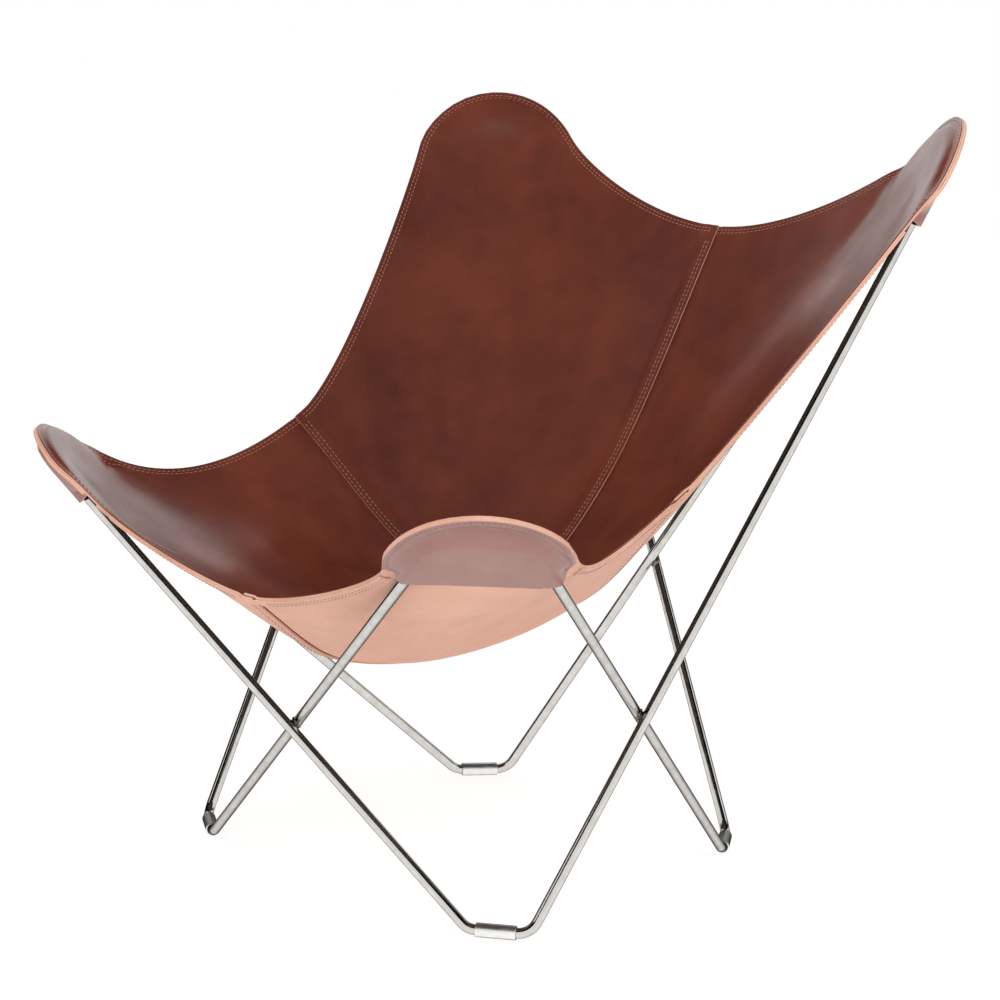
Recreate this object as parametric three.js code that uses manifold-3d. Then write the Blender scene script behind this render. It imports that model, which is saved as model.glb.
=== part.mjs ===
// Butterfly sling chair: two closed loops of bent steel rod, welded where they cross, with a loose
// sleeve round each foot bar, and a leather sling of four panels that hangs on the four rod ears by
// half-round pockets sewn under its corners.
// Millimetres, +Z up. The chair faces -Y, and the sitter's left is +X.

import * as THREE from 'three';
import { mergeVertices } from 'three/addons/utils/BufferGeometryUtils.js';
import Module from 'manifold-3d';

const wasm = await Module();
wasm.setup();

// Rod frame. Feet and ears are given for the sitter's left and mirrored to the right.
// A turn is the direction of a bar seen from above, in degrees from +X.
const ROD_DIAMETER = 12;
const FRONT_FOOT_X = 245;
const FRONT_FOOT_Y = -217;
const FRONT_FOOT_TURN = 36;
const REAR_FOOT_X = 210;
const REAR_FOOT_Y = 221;
const REAR_FOOT_TURN = -52;
const FOOT_BAR = 69;
const FOOT_BEND = 24;
const REAR_EAR_X = 350;
const REAR_EAR_Y = 359;
const REAR_EAR_Z = 848;
const REAR_EAR_TURN = -44;
const FRONT_EAR_X = 358;
const FRONT_EAR_Y = -377;
const FRONT_EAR_Z = 488;
const FRONT_EAR_TURN = 43;
const EAR_BAR = 105;
const EAR_BEND = 45;
const LOOP_STEP = 12.6;

// Welds at the crossings, sleeves on the feet, and the gaps that keep touching pieces apart.
const WELD_RADIUS = 9;
const WELD_GAP = 0.3;
const BUTT_GAP = 0.3;
const SLEEVE_LENGTH = 46;
const SLEEVE_BORE = 13.4;
const SLEEVE_WALL = 1.5;

// Leather. The panels and pockets are cut from one hide, and the edge bands are thinner.
const LEATHER = 3.5;
const BAND_LEATHER = 2;
const BAND_WIDTH = 12;
const SEAT_GAP = 0.45;
const SEAM_GAP = 0.4;
const BAND_GAP = 0.5;

// Outline of the sling: a round end on each ear, and a scalloped edge that dips to a notch between ears.
// A pull is how far the edge keeps its direction past a notch or past the shoulder of an ear.
// A slide is how far the sling has settled towards the sitter's left on a pair of ears.
const EAR_RADIUS = 105;
const REAR_EAR_REACH = 46;
const FRONT_EAR_REACH = 39;
const REAR_SLIDE = 18;
const FRONT_SLIDE = 13;
const REAR_EAR_BACK_SWEEP = 66;
const REAR_EAR_SIDE_SWEEP = 80;
const FRONT_EAR_SIDE_SWEEP = 55;
const FRONT_EAR_FRONT_SWEEP = 96;
const BACK_NOTCH_Y = 393;
const BACK_NOTCH_Z = 734;
const BACK_NOTCH_PULL = 120;
const SIDE_NOTCH_X = 315;
const SIDE_NOTCH_Y = -21;
const SIDE_NOTCH_Z = 489;
const SIDE_NOTCH_FALL = 28;
const SIDE_NOTCH_REAR_PULL = 90;
const SIDE_NOTCH_FRONT_PULL = 220;
const FRONT_NOTCH_Y = -381;
const FRONT_NOTCH_Z = 368;
const FRONT_NOTCH_PULL = 68;
const SHOULDER_PULL = 36;

// Seat surface: the points that the middle of the leather hangs through, besides its edge and the ears.
// The seams meet at the seat centre, and the points off the middle line are given for the sitter's left.
const SEAT_CENTRE_Y = 59;
const SEAT_CENTRE_Z = 309;
const SEAT_LOW_Y = -130;
const SEAT_LOW_Z = 256;
const SEAT_BACK_Y = 230;
const SEAT_BACK_Z = 468;
const SEAT_FRONT_Y = -270;
const SEAT_FRONT_Z = 287;
const SEAT_SIDE_X = 160;
const SEAT_SIDE_Y = 0;
const SEAT_SIDE_Z = 341;
const SEAT_RIM_X = 260;
const SEAT_RIM_Y = 80;
const SEAT_RIM_Z = 487;
const THIGH_X = 180;
const THIGH_Y = -180;
const THIGH_Z = 352;
const SHOULDER_X = 170;
const SHOULDER_Y = 220;
const SHOULDER_Z = 522;
const EAR_FADE = 24;

// Pockets: how far the straight mouth lies below the ear bar, the sewn flat rim and its slope to the rod,
// and how far above the mouth the rim ends at the front or back edge and at the side edge.
const POCKET_DEPTH = 70;
const POCKET_RIM = 4.5;
const POCKET_SLOPE = 6;
const POCKET_END_CORNER = 9;
const POCKET_SIDE_CORNER = 30;

// Facets.
const ROD_SIDES = 12;
const FOOT_BEND_STEPS = 5;
const EAR_BEND_STEPS = 8;
const SLEEVE_SIDES = 16;
const OCTANT_COLUMNS = 14;
const PANEL_ROWS = 10;
const POCKET_COLUMNS = 20;
const POCKET_ROWS = 8;
const EDGE_HOLDS = 8;
const CENTRE_HOLE = 0.012;

const X_AXIS = new THREE.Vector3(1, 0, 0);
const Z_AXIS = new THREE.Vector3(0, 0, 1);
const radians = THREE.MathUtils.degToRad;
const rodRadius = ROD_DIAMETER / 2;
const sleeveRadius = SLEEVE_BORE / 2 + SLEEVE_WALL;
const chair = new THREE.Group();

const steel = new THREE.MeshStandardMaterial({ color: 0xb9b4ac, roughness: 0.22, metalness: 1 });
const sleeveSteel = new THREE.MeshStandardMaterial({ color: 0x8e8a84, roughness: 0.45, metalness: 1 });
const grainLeather = new THREE.MeshStandardMaterial({ color: 0x5c2b1f, roughness: 0.4, metalness: 0 });
const pocketLeather = new THREE.MeshStandardMaterial({ color: 0x7d5248, roughness: 0.5, metalness: 0 });
const bandLeather = new THREE.MeshStandardMaterial({ color: 0xd9a991, roughness: 0.85, metalness: 0 });

function addPiece(name, geometry, material) {
  const mesh = new THREE.Mesh(geometry, material);
  mesh.name = name;
  chair.add(mesh);
  return mesh;
}

// A point and a level direction on one side of the chair: side is 1 on the sitter's left, -1 on the right.
function sidePoint(side, x, y, z) {
  return new THREE.Vector3(side * x, y, z);
}

function sideTurn(side, degrees) {
  return new THREE.Vector3(side * Math.cos(radians(degrees)), Math.sin(radians(degrees)), 0);
}

function endsOfBar(centre, direction, length) {
  return {
    plus: centre.clone().addScaledVector(direction, length / 2),
    minus: centre.clone().addScaledVector(direction, -length / 2),
  };
}

// Feet and ears of the bare loops, before the two loops are set side by side.
function bareBars(side) {
  const frontFoot = sidePoint(side, FRONT_FOOT_X, FRONT_FOOT_Y, sleeveRadius);
  const rearFoot = sidePoint(side, REAR_FOOT_X, REAR_FOOT_Y, sleeveRadius);
  const frontEar = sidePoint(side, FRONT_EAR_X, FRONT_EAR_Y, FRONT_EAR_Z);
  const rearEar = sidePoint(side, REAR_EAR_X, REAR_EAR_Y, REAR_EAR_Z);
  return {
    frontFoot: endsOfBar(frontFoot, sideTurn(side, FRONT_FOOT_TURN), FOOT_BAR),
    rearFoot: endsOfBar(rearFoot, sideTurn(side, REAR_FOOT_TURN), FOOT_BAR),
    frontEar: endsOfBar(frontEar, sideTurn(side, FRONT_EAR_TURN), EAR_BAR),
    rearEar: endsOfBar(rearEar, sideTurn(side, REAR_EAR_TURN), EAR_BAR),
  };
}

const left = bareBars(1);
const right = bareBars(-1);

// Each ear has an uncrossed leg from the foot on its own side and a crossed leg from the other side.
// loop is 1 for the loop with the rear left and front right ears, and -1 for the other loop.
function makeLeg(foot, ear, loop) {
  const shift = new THREE.Vector3(1, -1, 0).multiplyScalar((loop * LOOP_STEP) / 2);
  return { foot: foot.clone().add(shift), ear: ear.clone().add(shift), loop };
}

const legs = {
  rearLeftOwn: makeLeg(left.frontFoot.plus, left.rearEar.plus, 1),
  rearLeftCrossed: makeLeg(right.rearFoot.minus, left.rearEar.minus, 1),
  frontRightOwn: makeLeg(right.rearFoot.plus, right.frontEar.plus, 1),
  frontRightCrossed: makeLeg(left.frontFoot.minus, right.frontEar.minus, 1),
  rearRightOwn: makeLeg(right.frontFoot.plus, right.rearEar.plus, -1),
  rearRightCrossed: makeLeg(left.rearFoot.minus, right.rearEar.minus, -1),
  frontLeftOwn: makeLeg(left.rearFoot.plus, left.frontEar.plus, -1),
  frontLeftCrossed: makeLeg(right.frontFoot.minus, left.frontEar.minus, -1),
};

// Moves two crossing legs apart, each by half, until the rods clear each other by the weld gap.
// Returns the middle of the crossing and the directions of both legs, for the weld.
function crossLegs(one, two) {
  const lineOne = one.ear.clone().sub(one.foot).normalize();
  const lineTwo = two.ear.clone().sub(two.foot).normalize();
  const across = lineOne.clone().cross(lineTwo).normalize();
  const step = one.foot.clone().sub(two.foot);
  across.multiplyScalar(Math.sign(step.dot(across)));
  const half = (ROD_DIAMETER + WELD_GAP) / 2;
  const level = new THREE.Vector3(across.x, across.y, 0);
  level.multiplyScalar((half - step.dot(across) / 2) / level.lengthSq());
  one.foot.add(level);
  one.ear.add(level);
  two.foot.sub(level);
  two.ear.sub(level);
  const offset = two.foot.clone().sub(one.foot);
  const along = lineTwo.clone().cross(across);
  const reach = offset.dot(along) / lineOne.dot(along);
  const middle = one.foot.clone().addScaledVector(lineOne, reach).addScaledVector(across, -half);
  return { middle, across, half, lineOne, lineTwo };
}

const crossings = {
  front: crossLegs(legs.frontRightCrossed, legs.frontLeftCrossed),
  left: crossLegs(legs.rearLeftOwn, legs.frontLeftOwn),
  right: crossLegs(legs.frontRightOwn, legs.rearRightOwn),
  rear: crossLegs(legs.rearLeftCrossed, legs.rearRightCrossed),
};

// A rod's centre line: straight runs with round bends, held as knots so that no facet is spent on a run.
class RodPath extends THREE.Curve {
  constructor(knots) {
    super();
    this.knots = knots;
  }

  locate(t) {
    const at = t * (this.knots.length - 1);
    const index = Math.min(Math.floor(at + 1e-6), this.knots.length - 2);
    return [this.knots[index], this.knots[index + 1], at - index];
  }

  getPoint(t, target = new THREE.Vector3()) {
    const [before, after, share] = this.locate(t);
    return target.copy(before.point).lerp(after.point, share);
  }

  getTangent(t, target = new THREE.Vector3()) {
    const [before, after, share] = this.locate(t);
    return target.copy(before.tangent).lerp(after.tangent, share).normalize();
  }

  getUtoTmapping(u) {
    return u;
  }
}

function bendReach(before, after, radius) {
  return radius * Math.tan(before.angleTo(after) / 2);
}

function roundedPath(corners, bends) {
  const heading = (index) => corners[index + 1].clone().sub(corners[index]).normalize();
  const knots = [{ point: corners[0], tangent: heading(0) }];
  for (let index = 1; index < corners.length - 1; index += 1) {
    const before = heading(index - 1);
    const after = heading(index);
    const { radius, steps } = bends[index - 1];
    const axis = before.clone().cross(after).normalize();
    const start = corners[index].clone().addScaledVector(before, -bendReach(before, after, radius));
    const centre = start.clone().addScaledVector(axis.clone().cross(before), radius);
    for (let step = 0; step <= steps; step += 1) {
      const angle = (before.angleTo(after) * step) / steps;
      const arm = start.clone().sub(centre).applyAxisAngle(axis, angle);
      knots.push({ point: arm.add(centre), tangent: before.clone().applyAxisAngle(axis, angle) });
    }
  }
  knots.push({ point: corners.at(-1), tangent: heading(corners.length - 2) });
  return new RodPath(knots);
}

// Foot bars: the straight run between the bends of the two legs that share a foot.
function footBar(legOne, legTwo) {
  const direction = legTwo.foot.clone().sub(legOne.foot).normalize();
  const reachOne = bendReach(legOne.foot.clone().sub(legOne.ear), direction, FOOT_BEND);
  const reachTwo = bendReach(direction, legTwo.ear.clone().sub(legTwo.foot), FOOT_BEND);
  const runStart = legOne.foot.clone().addScaledVector(direction, reachOne);
  const runEnd = legTwo.foot.clone().addScaledVector(direction, -reachTwo);
  return { direction, middle: runStart.lerp(runEnd, 0.5) };
}

const footBars = {
  front_left: footBar(legs.rearLeftOwn, legs.frontRightCrossed),
  rear_right: footBar(legs.rearLeftCrossed, legs.frontRightOwn),
  front_right: footBar(legs.rearRightOwn, legs.frontLeftCrossed),
  rear_left: footBar(legs.rearRightCrossed, legs.frontLeftOwn),
};

// A hoop is one bent rod: half a foot bar, a leg, the ear bar, the other leg and half of its foot bar.
function hoopGeometry(firstLeg, firstBar, lastLeg, lastBar) {
  const buttEnd = (leg, bar) => {
    const side = Math.sign(leg.foot.clone().sub(bar.middle).dot(bar.direction));
    return bar.middle.clone().addScaledVector(bar.direction, (side * BUTT_GAP) / 2);
  };
  const corners = [
    buttEnd(firstLeg, firstBar), firstLeg.foot, firstLeg.ear,
    lastLeg.ear, lastLeg.foot, buttEnd(lastLeg, lastBar),
  ];
  const footTurn = { radius: FOOT_BEND, steps: FOOT_BEND_STEPS };
  const earTurn = { radius: EAR_BEND, steps: EAR_BEND_STEPS };
  const path = roundedPath(corners, [footTurn, earTurn, earTurn, footTurn]);
  const section = new THREE.Shape().absarc(0, 0, rodRadius, 0, Math.PI * 2);
  return new THREE.ExtrudeGeometry(section, {
    steps: path.knots.length - 1,
    curveSegments: ROD_SIDES / 2,
    bevelEnabled: false,
    extrudePath: path,
  });
}

addPiece('rear_left_hoop', hoopGeometry(
  legs.rearLeftOwn, footBars.front_left, legs.rearLeftCrossed, footBars.rear_right), steel);
addPiece('rear_right_hoop', hoopGeometry(
  legs.rearRightOwn, footBars.front_right, legs.rearRightCrossed, footBars.rear_left), steel);
addPiece('front_left_hoop', hoopGeometry(
  legs.frontLeftOwn, footBars.rear_left, legs.frontLeftCrossed, footBars.front_right), steel);
addPiece('front_right_hoop', hoopGeometry(
  legs.frontRightOwn, footBars.rear_right, legs.frontRightCrossed, footBars.front_left), steel);

// Foot sleeves: a tube with flat facets, one of them on the floor, loose round the foot bar.
function polygonPoints(flatRadius, sides) {
  const corner = flatRadius / Math.cos(Math.PI / sides);
  return Array.from({ length: sides }, (_, index) => {
    const angle = ((index + 0.5) * 2 * Math.PI) / sides;
    return new THREE.Vector2(corner * Math.cos(angle), corner * Math.sin(angle));
  });
}

function sleeveGeometry() {
  const ring = new THREE.Shape(polygonPoints(sleeveRadius, SLEEVE_SIDES));
  ring.holes.push(new THREE.Path(polygonPoints(SLEEVE_BORE / 2, SLEEVE_SIDES)));
  const sleeve = new THREE.ExtrudeGeometry(ring, { depth: SLEEVE_LENGTH, bevelEnabled: false });
  return sleeve.translate(0, 0, -SLEEVE_LENGTH / 2);
}

for (const [foot, bar] of Object.entries(footBars)) {
  const sleeve = addPiece(`${foot}_foot_sleeve`, sleeveGeometry(), sleeveSteel);
  const level = Z_AXIS.clone().cross(bar.direction).normalize();
  const basis = new THREE.Matrix4().makeBasis(level, bar.direction.clone().cross(level), bar.direction);
  sleeve.quaternion.setFromRotationMatrix(basis);
  sleeve.position.copy(bar.middle);
}

// Boolean solids.
function toManifold(geometry) {
  const bare = geometry.clone();
  bare.deleteAttribute('normal');
  bare.deleteAttribute('uv');
  const merged = mergeVertices(bare, 1e-4);
  const vertProperties = new Float32Array(merged.attributes.position.array);
  const triVerts = new Uint32Array(merged.index.array);
  return new wasm.Manifold(new wasm.Mesh({ numProp: 3, vertProperties, triVerts }));
}

function fromManifold(solid) {
  const mesh = solid.getMesh();
  const geometry = new THREE.BufferGeometry();
  geometry.setAttribute('position', new THREE.BufferAttribute(mesh.vertProperties, 3));
  geometry.setIndex(new THREE.BufferAttribute(mesh.triVerts, 1));
  geometry.computeVertexNormals();
  return geometry;
}

// Welds: a rounded bead round the touching point, hollowed by both rods with their clearance.
function weldGeometry(crossing) {
  const { middle, across, half, lineOne, lineTwo } = crossing;
  const bead = toManifold(new THREE.SphereGeometry(WELD_RADIUS, 16, 12).translate(...middle));
  const channel = (line, offset) => {
    const rod = new THREE.CylinderGeometry(rodRadius + WELD_GAP, rodRadius + WELD_GAP, 6 * WELD_RADIUS, 24);
    const turn = new THREE.Quaternion().setFromUnitVectors(new THREE.Vector3(0, 1, 0), line);
    const centre = middle.clone().addScaledVector(across, offset);
    return toManifold(rod.applyQuaternion(turn).translate(...centre));
  };
  return fromManifold(bead.subtract(channel(lineOne, half)).subtract(channel(lineTwo, -half)));
}

for (const [place, crossing] of Object.entries(crossings)) {
  addPiece(`${place}_crossing_weld`, weldGeometry(crossing), steel);
}

// How far a leg moves in a direction for each millimetre that it falls below its ear.
function legSlope(leg, v, direction) {
  const fall = leg.foot.clone().sub(leg.ear);
  return Math.abs(fall.dot(direction) / fall.dot(v));
}

// Ear frames, in the order that the sling's edge passes them, clockwise seen from above.
// u runs along the ear bar with the edge, v up the ear in the plane of its rod, and w from it to the sitter.
function earFrame(name, firstLeg, lastLeg, shape, reach) {
  const middle = firstLeg.ear.clone().lerp(lastLeg.ear, 0.5);
  const u = lastLeg.ear.clone().sub(firstLeg.ear).normalize();
  const v = middle.clone().sub(firstLeg.foot.clone().lerp(lastLeg.foot, 0.5));
  v.addScaledVector(u, -v.dot(u)).normalize();
  const w = u.clone().cross(v);
  const spread = Math.max(legSlope(firstLeg, v, u), legSlope(lastLeg, v, u));
  const lean = Math.max(legSlope(firstLeg, v, w), legSlope(lastLeg, v, w)) * POCKET_DEPTH;
  const sweeps = shape.map(({ sweep }) => radians(sweep));
  const corners = shape.map(({ corner }) => corner);
  return { name, middle, u, v, w, spread, lean, reach, sweeps, corners };
}

const rearShape = [
  { sweep: REAR_EAR_BACK_SWEEP, corner: POCKET_END_CORNER },
  { sweep: REAR_EAR_SIDE_SWEEP, corner: POCKET_SIDE_CORNER },
];
const frontShape = [
  { sweep: FRONT_EAR_SIDE_SWEEP, corner: POCKET_SIDE_CORNER },
  { sweep: FRONT_EAR_FRONT_SWEEP, corner: POCKET_END_CORNER },
];
const ears = [
  earFrame('rear_left', legs.rearLeftCrossed, legs.rearLeftOwn, rearShape,
    REAR_EAR_REACH + REAR_SLIDE),
  earFrame('front_left', legs.frontLeftOwn, legs.frontLeftCrossed, frontShape,
    FRONT_EAR_REACH + FRONT_SLIDE),
  earFrame('front_right', legs.frontRightCrossed, legs.frontRightOwn, frontShape.toReversed(),
    FRONT_EAR_REACH - FRONT_SLIDE),
  earFrame('rear_right', legs.rearRightOwn, legs.rearRightCrossed, rearShape.toReversed(),
    REAR_EAR_REACH - REAR_SLIDE),
];

// The panels lie on the ear rods, so the middle of the leather stands this far above the rod's plane.
const earSeat = rodRadius + SEAT_GAP + LEATHER / 2;

class EarArc extends THREE.Curve {
  constructor(ear, from, to) {
    super();
    Object.assign(this, { ear, from, to });
  }

  getPoint(t, target = new THREE.Vector3()) {
    const angle = THREE.MathUtils.lerp(this.from, this.to, t);
    const { middle, u, v, w, reach } = this.ear;
    target.copy(middle).addScaledVector(w, earSeat);
    target.addScaledVector(v, reach - EAR_RADIUS + EAR_RADIUS * Math.cos(angle));
    return target.addScaledVector(u, EAR_RADIUS * Math.sin(angle));
  }

  heading(t) {
    const angle = THREE.MathUtils.lerp(this.from, this.to, t);
    const { u, v } = this.ear;
    return u.clone().multiplyScalar(Math.cos(angle)).addScaledVector(v, -Math.sin(angle));
  }
}

// Notches in the same order, each with the direction of the edge and its pull before and after it.
const sideFall = (side) => new THREE.Vector3(0, -side * Math.cos(radians(SIDE_NOTCH_FALL)),
  -side * Math.sin(radians(SIDE_NOTCH_FALL)));
const notches = [
  {
    point: new THREE.Vector3(0, BACK_NOTCH_Y, BACK_NOTCH_Z),
    heading: X_AXIS.clone(),
    pulls: [BACK_NOTCH_PULL, BACK_NOTCH_PULL],
  },
  {
    point: sidePoint(1, SIDE_NOTCH_X, SIDE_NOTCH_Y, SIDE_NOTCH_Z),
    heading: sideFall(1),
    pulls: [SIDE_NOTCH_REAR_PULL, SIDE_NOTCH_FRONT_PULL],
  },
  {
    point: new THREE.Vector3(0, FRONT_NOTCH_Y, FRONT_NOTCH_Z),
    heading: X_AXIS.clone().negate(),
    pulls: [FRONT_NOTCH_PULL, FRONT_NOTCH_PULL],
  },
  {
    point: sidePoint(-1, SIDE_NOTCH_X, SIDE_NOTCH_Y, SIDE_NOTCH_Z),
    heading: sideFall(-1),
    pulls: [SIDE_NOTCH_FRONT_PULL, SIDE_NOTCH_REAR_PULL],
  },
];

// The edge in eight stretches: from a notch to the tip of the next ear, then from that tip to a notch.
function scallop(start, startHeading, startPull, end, endHeading, endPull) {
  return new THREE.CubicBezierCurve3(start, start.clone().addScaledVector(startHeading, startPull),
    end.clone().addScaledVector(endHeading, -endPull), end);
}

function stretch(...curves) {
  const path = new THREE.CurvePath();
  curves.forEach((curve) => path.add(curve));
  return path;
}

const edge = ears.flatMap((ear, index) => {
  const before = notches[index];
  const after = notches[(index + 1) % notches.length];
  const rise = new EarArc(ear, -ear.sweeps[0], 0);
  const fall = new EarArc(ear, 0, ear.sweeps[1]);
  const up = scallop(before.point, before.heading, before.pulls[1],
    rise.getPoint(0), rise.heading(0), SHOULDER_PULL);
  const down = scallop(fall.getPoint(1), fall.heading(1), SHOULDER_PULL,
    after.point, after.heading, after.pulls[0]);
  return [stretch(up, rise), stretch(fall, down)];
});

// Solves linear equations, given as rows that end with their right-hand side.
function solveLinear(rows) {
  const size = rows.length;
  for (let pivot = 0; pivot < size; pivot += 1) {
    let best = pivot;
    for (let row = pivot + 1; row < size; row += 1) {
      if (Math.abs(rows[row][pivot]) > Math.abs(rows[best][pivot])) best = row;
    }
    [rows[pivot], rows[best]] = [rows[best], rows[pivot]];
    for (let row = pivot + 1; row < size; row += 1) {
      const factor = rows[row][pivot] / rows[pivot][pivot];
      for (let column = pivot; column <= size; column += 1) rows[row][column] -= factor * rows[pivot][column];
    }
  }
  const values = new Array(size).fill(0);
  for (let row = size - 1; row >= 0; row -= 1) {
    const known = values.reduce((sum, value, column) => sum + value * rows[row][column], 0);
    values[row] = (rows[row][size] - known) / rows[row][row];
  }
  return values;
}

// A thin plate over the plan: the height that bends least while it passes through all the points.
function thinPlate(points) {
  const bulge = (x, y, { x: px, y: py }) => {
    const square = (x - px) ** 2 + (y - py) ** 2;
    return square > 0 ? square * Math.log(square) : 0;
  };
  const balance = (measure) => [...points.map(measure), 0, 0, 0, 0];
  const values = solveLinear([
    ...points.map(({ x, y, z }) => [...points.map((other) => bulge(x, y, other)), 1, x, y, z]),
    balance(() => 1),
    balance(({ x }) => x),
    balance(({ y }) => y),
  ]);
  const [level, slopeX, slopeY] = values.slice(points.length);
  return (x, y) => points.reduce((sum, point, index) => sum + values[index] * bulge(x, y, point),
    level + slopeX * x + slopeY * y);
}

// The leather passes through its edge, lies on the rods of each ear down to the pocket's mouth and a
// little further, and hangs through the seat points.
const earPoint = (ear, across, height) => ear.middle.clone().addScaledVector(ear.w, earSeat)
  .addScaledVector(ear.u, across).addScaledVector(ear.v, height);
const legsAt = (ear, depth) => EAR_BAR / 2 + ear.spread * depth;
const seatCentre = new THREE.Vector3(0, SEAT_CENTRE_Y, SEAT_CENTRE_Z);
const edgePoints = edge.flatMap((path) => Array.from({ length: EDGE_HOLDS }, (_, step) =>
  path.getPoint(step / EDGE_HOLDS)));
const earPoints = ears.flatMap((ear) => [-1, 0, 1].flatMap((side) => [
  earPoint(ear, side * legsAt(ear, 0), 0),
  earPoint(ear, side * legsAt(ear, POCKET_DEPTH / 2), -POCKET_DEPTH / 2),
  earPoint(ear, side * legsAt(ear, POCKET_DEPTH), -POCKET_DEPTH),
  earPoint(ear, side * legsAt(ear, 0), -POCKET_DEPTH - EAR_FADE),
]));
const seatPoints = [
  seatCentre,
  new THREE.Vector3(0, SEAT_LOW_Y, SEAT_LOW_Z),
  new THREE.Vector3(0, SEAT_BACK_Y, SEAT_BACK_Z),
  new THREE.Vector3(0, SEAT_FRONT_Y, SEAT_FRONT_Z),
  ...[1, -1].flatMap((side) => [
    sidePoint(side, SEAT_SIDE_X, SEAT_SIDE_Y, SEAT_SIDE_Z),
    sidePoint(side, SEAT_RIM_X, SEAT_RIM_Y, SEAT_RIM_Z),
    sidePoint(side, THIGH_X, THIGH_Y, THIGH_Z),
    sidePoint(side, SHOULDER_X, SHOULDER_Y, SHOULDER_Z),
  ]),
];
const plate = thinPlate([...edgePoints, ...earPoints, ...seatPoints]);

// The plate's height, drawn exactly into the plane of an ear where the leather lies on the rods.
function slingHeight(x, y) {
  return ears.reduce((height, ear) => {
    const onEar = new THREE.Vector3(x, y, 0).sub(earPoint(ear, 0, 0));
    onEar.z = -(onEar.x * ear.w.x + onEar.y * ear.w.y) / ear.w.z;
    const flatHeight = onEar.z + earPoint(ear, 0, 0).z;
    const depth = -onEar.dot(ear.v);
    const flatHalf = legsAt(ear, THREE.MathUtils.clamp(depth, 0, POCKET_DEPTH)) + rodRadius;
    const down = THREE.MathUtils.smoothstep(-depth, -POCKET_DEPTH - EAR_FADE, -POCKET_DEPTH);
    const aside = THREE.MathUtils.smoothstep(Math.abs(onEar.dot(ear.u)), flatHalf, flatHalf + EAR_FADE);
    return THREE.MathUtils.lerp(height, flatHeight, down * (1 - aside));
  }, plate(x, y));
}

// The middle of the leather. round counts the edge's stretches from the back notch, and out runs
// straight in plan from the seat centre at 0 to the edge at 1.
function slingPoint(round, out) {
  const turn = ((round % edge.length) + edge.length) % edge.length;
  const index = Math.min(Math.floor(turn), edge.length - 1);
  const point = seatCentre.clone().lerp(edge[index].getPoint(turn - index), out);
  point.z = slingHeight(point.x, point.y);
  return point;
}

const NUDGE = 1e-4;
function slingNormal(round, out) {
  const nearer = Math.min(out, 1 - NUDGE);
  const along = slingPoint(round + NUDGE, nearer).sub(slingPoint(round - NUDGE, nearer));
  const outward = slingPoint(round, nearer + NUDGE).sub(slingPoint(round, nearer));
  return along.cross(outward).normalize();
}

// A closed sheet from two grids of points, the upper and the lower face, joined round their rims.
function sheetGeometry(upper, lower) {
  const columns = upper.length;
  const rows = upper[0].length;
  const positions = [upper, lower].flatMap((face) => face.flatMap((column) =>
    column.flatMap((point) => point.toArray())));
  const at = (face, column, row) => (face * columns + column) * rows + row;
  const triangles = [];
  const quad = (a, b, c, d) => triangles.push(a, b, c, a, c, d);
  for (let column = 0; column < columns - 1; column += 1) {
    for (let row = 0; row < rows - 1; row += 1) {
      quad(at(0, column, row), at(0, column + 1, row), at(0, column + 1, row + 1), at(0, column, row + 1));
      quad(at(1, column, row), at(1, column, row + 1), at(1, column + 1, row + 1), at(1, column + 1, row));
    }
    const last = rows - 1;
    quad(at(0, column, 0), at(1, column, 0), at(1, column + 1, 0), at(0, column + 1, 0));
    quad(at(0, column, last), at(0, column + 1, last), at(1, column + 1, last), at(1, column, last));
  }
  for (let row = 0; row < rows - 1; row += 1) {
    const last = columns - 1;
    quad(at(0, 0, row), at(0, 0, row + 1), at(1, 0, row + 1), at(1, 0, row));
    quad(at(0, last, row), at(1, last, row), at(1, last, row + 1), at(0, last, row + 1));
  }
  const geometry = new THREE.BufferGeometry();
  geometry.setAttribute('position', new THREE.Float32BufferAttribute(positions, 3));
  geometry.setIndex(triangles);
  geometry.computeVertexNormals();
  return geometry;
}

// Both faces of a leather sheet about its middle points.
function thicken(grid, thickness) {
  const face = (offset) => grid.map((column) => column.map(({ point, normal }) =>
    point.clone().addScaledVector(normal, offset)));
  return sheetGeometry(face(thickness / 2), face(-thickness / 2));
}

// Panels: one for each ear, from the seam at the notch before it to the seam at the notch after it.
function panelGeometry(index) {
  const columns = 2 * OCTANT_COLUMNS;
  const start = 2 * index;
  const grid = Array.from({ length: columns + 1 }, () => []);
  for (let row = 0; row <= PANEL_ROWS; row += 1) {
    const out = THREE.MathUtils.lerp(CENTRE_HOLE, 1, row / PANEL_ROWS);
    const samples = Array.from({ length: columns + 1 }, (_, column) =>
      slingPoint(start + (2 * column) / columns, out));
    const width = samples.slice(1).reduce((sum, point, column) => sum + point.distanceTo(samples[column]), 0);
    const trim = SEAM_GAP / width;
    for (let column = 0; column <= columns; column += 1) {
      const round = start + THREE.MathUtils.lerp(trim, 2 - trim, column / columns);
      grid[column].push({ point: slingPoint(round, out), normal: slingNormal(round, out) });
    }
  }
  return thicken(grid, LEATHER);
}

ears.forEach((ear, index) => addPiece(`${ear.name}_panel`, panelGeometry(index), grainLeather));

// Finds where a rising or falling measure passes zero between two values.
function findZero(measure, low, high) {
  let [from, to] = [low, high];
  const rising = measure(low) < measure(high);
  for (let step = 0; step < 40; step += 1) {
    const half = (from + to) / 2;
    if (measure(half) < 0 === rising) from = half;
    else to = half;
  }
  return (from + to) / 2;
}

const heightOnEar = (ear, point) => point.clone().sub(ear.middle).dot(ear.v);
const acrossEar = (ear, point) => point.clone().sub(ear.middle).dot(ear.u);

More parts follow.
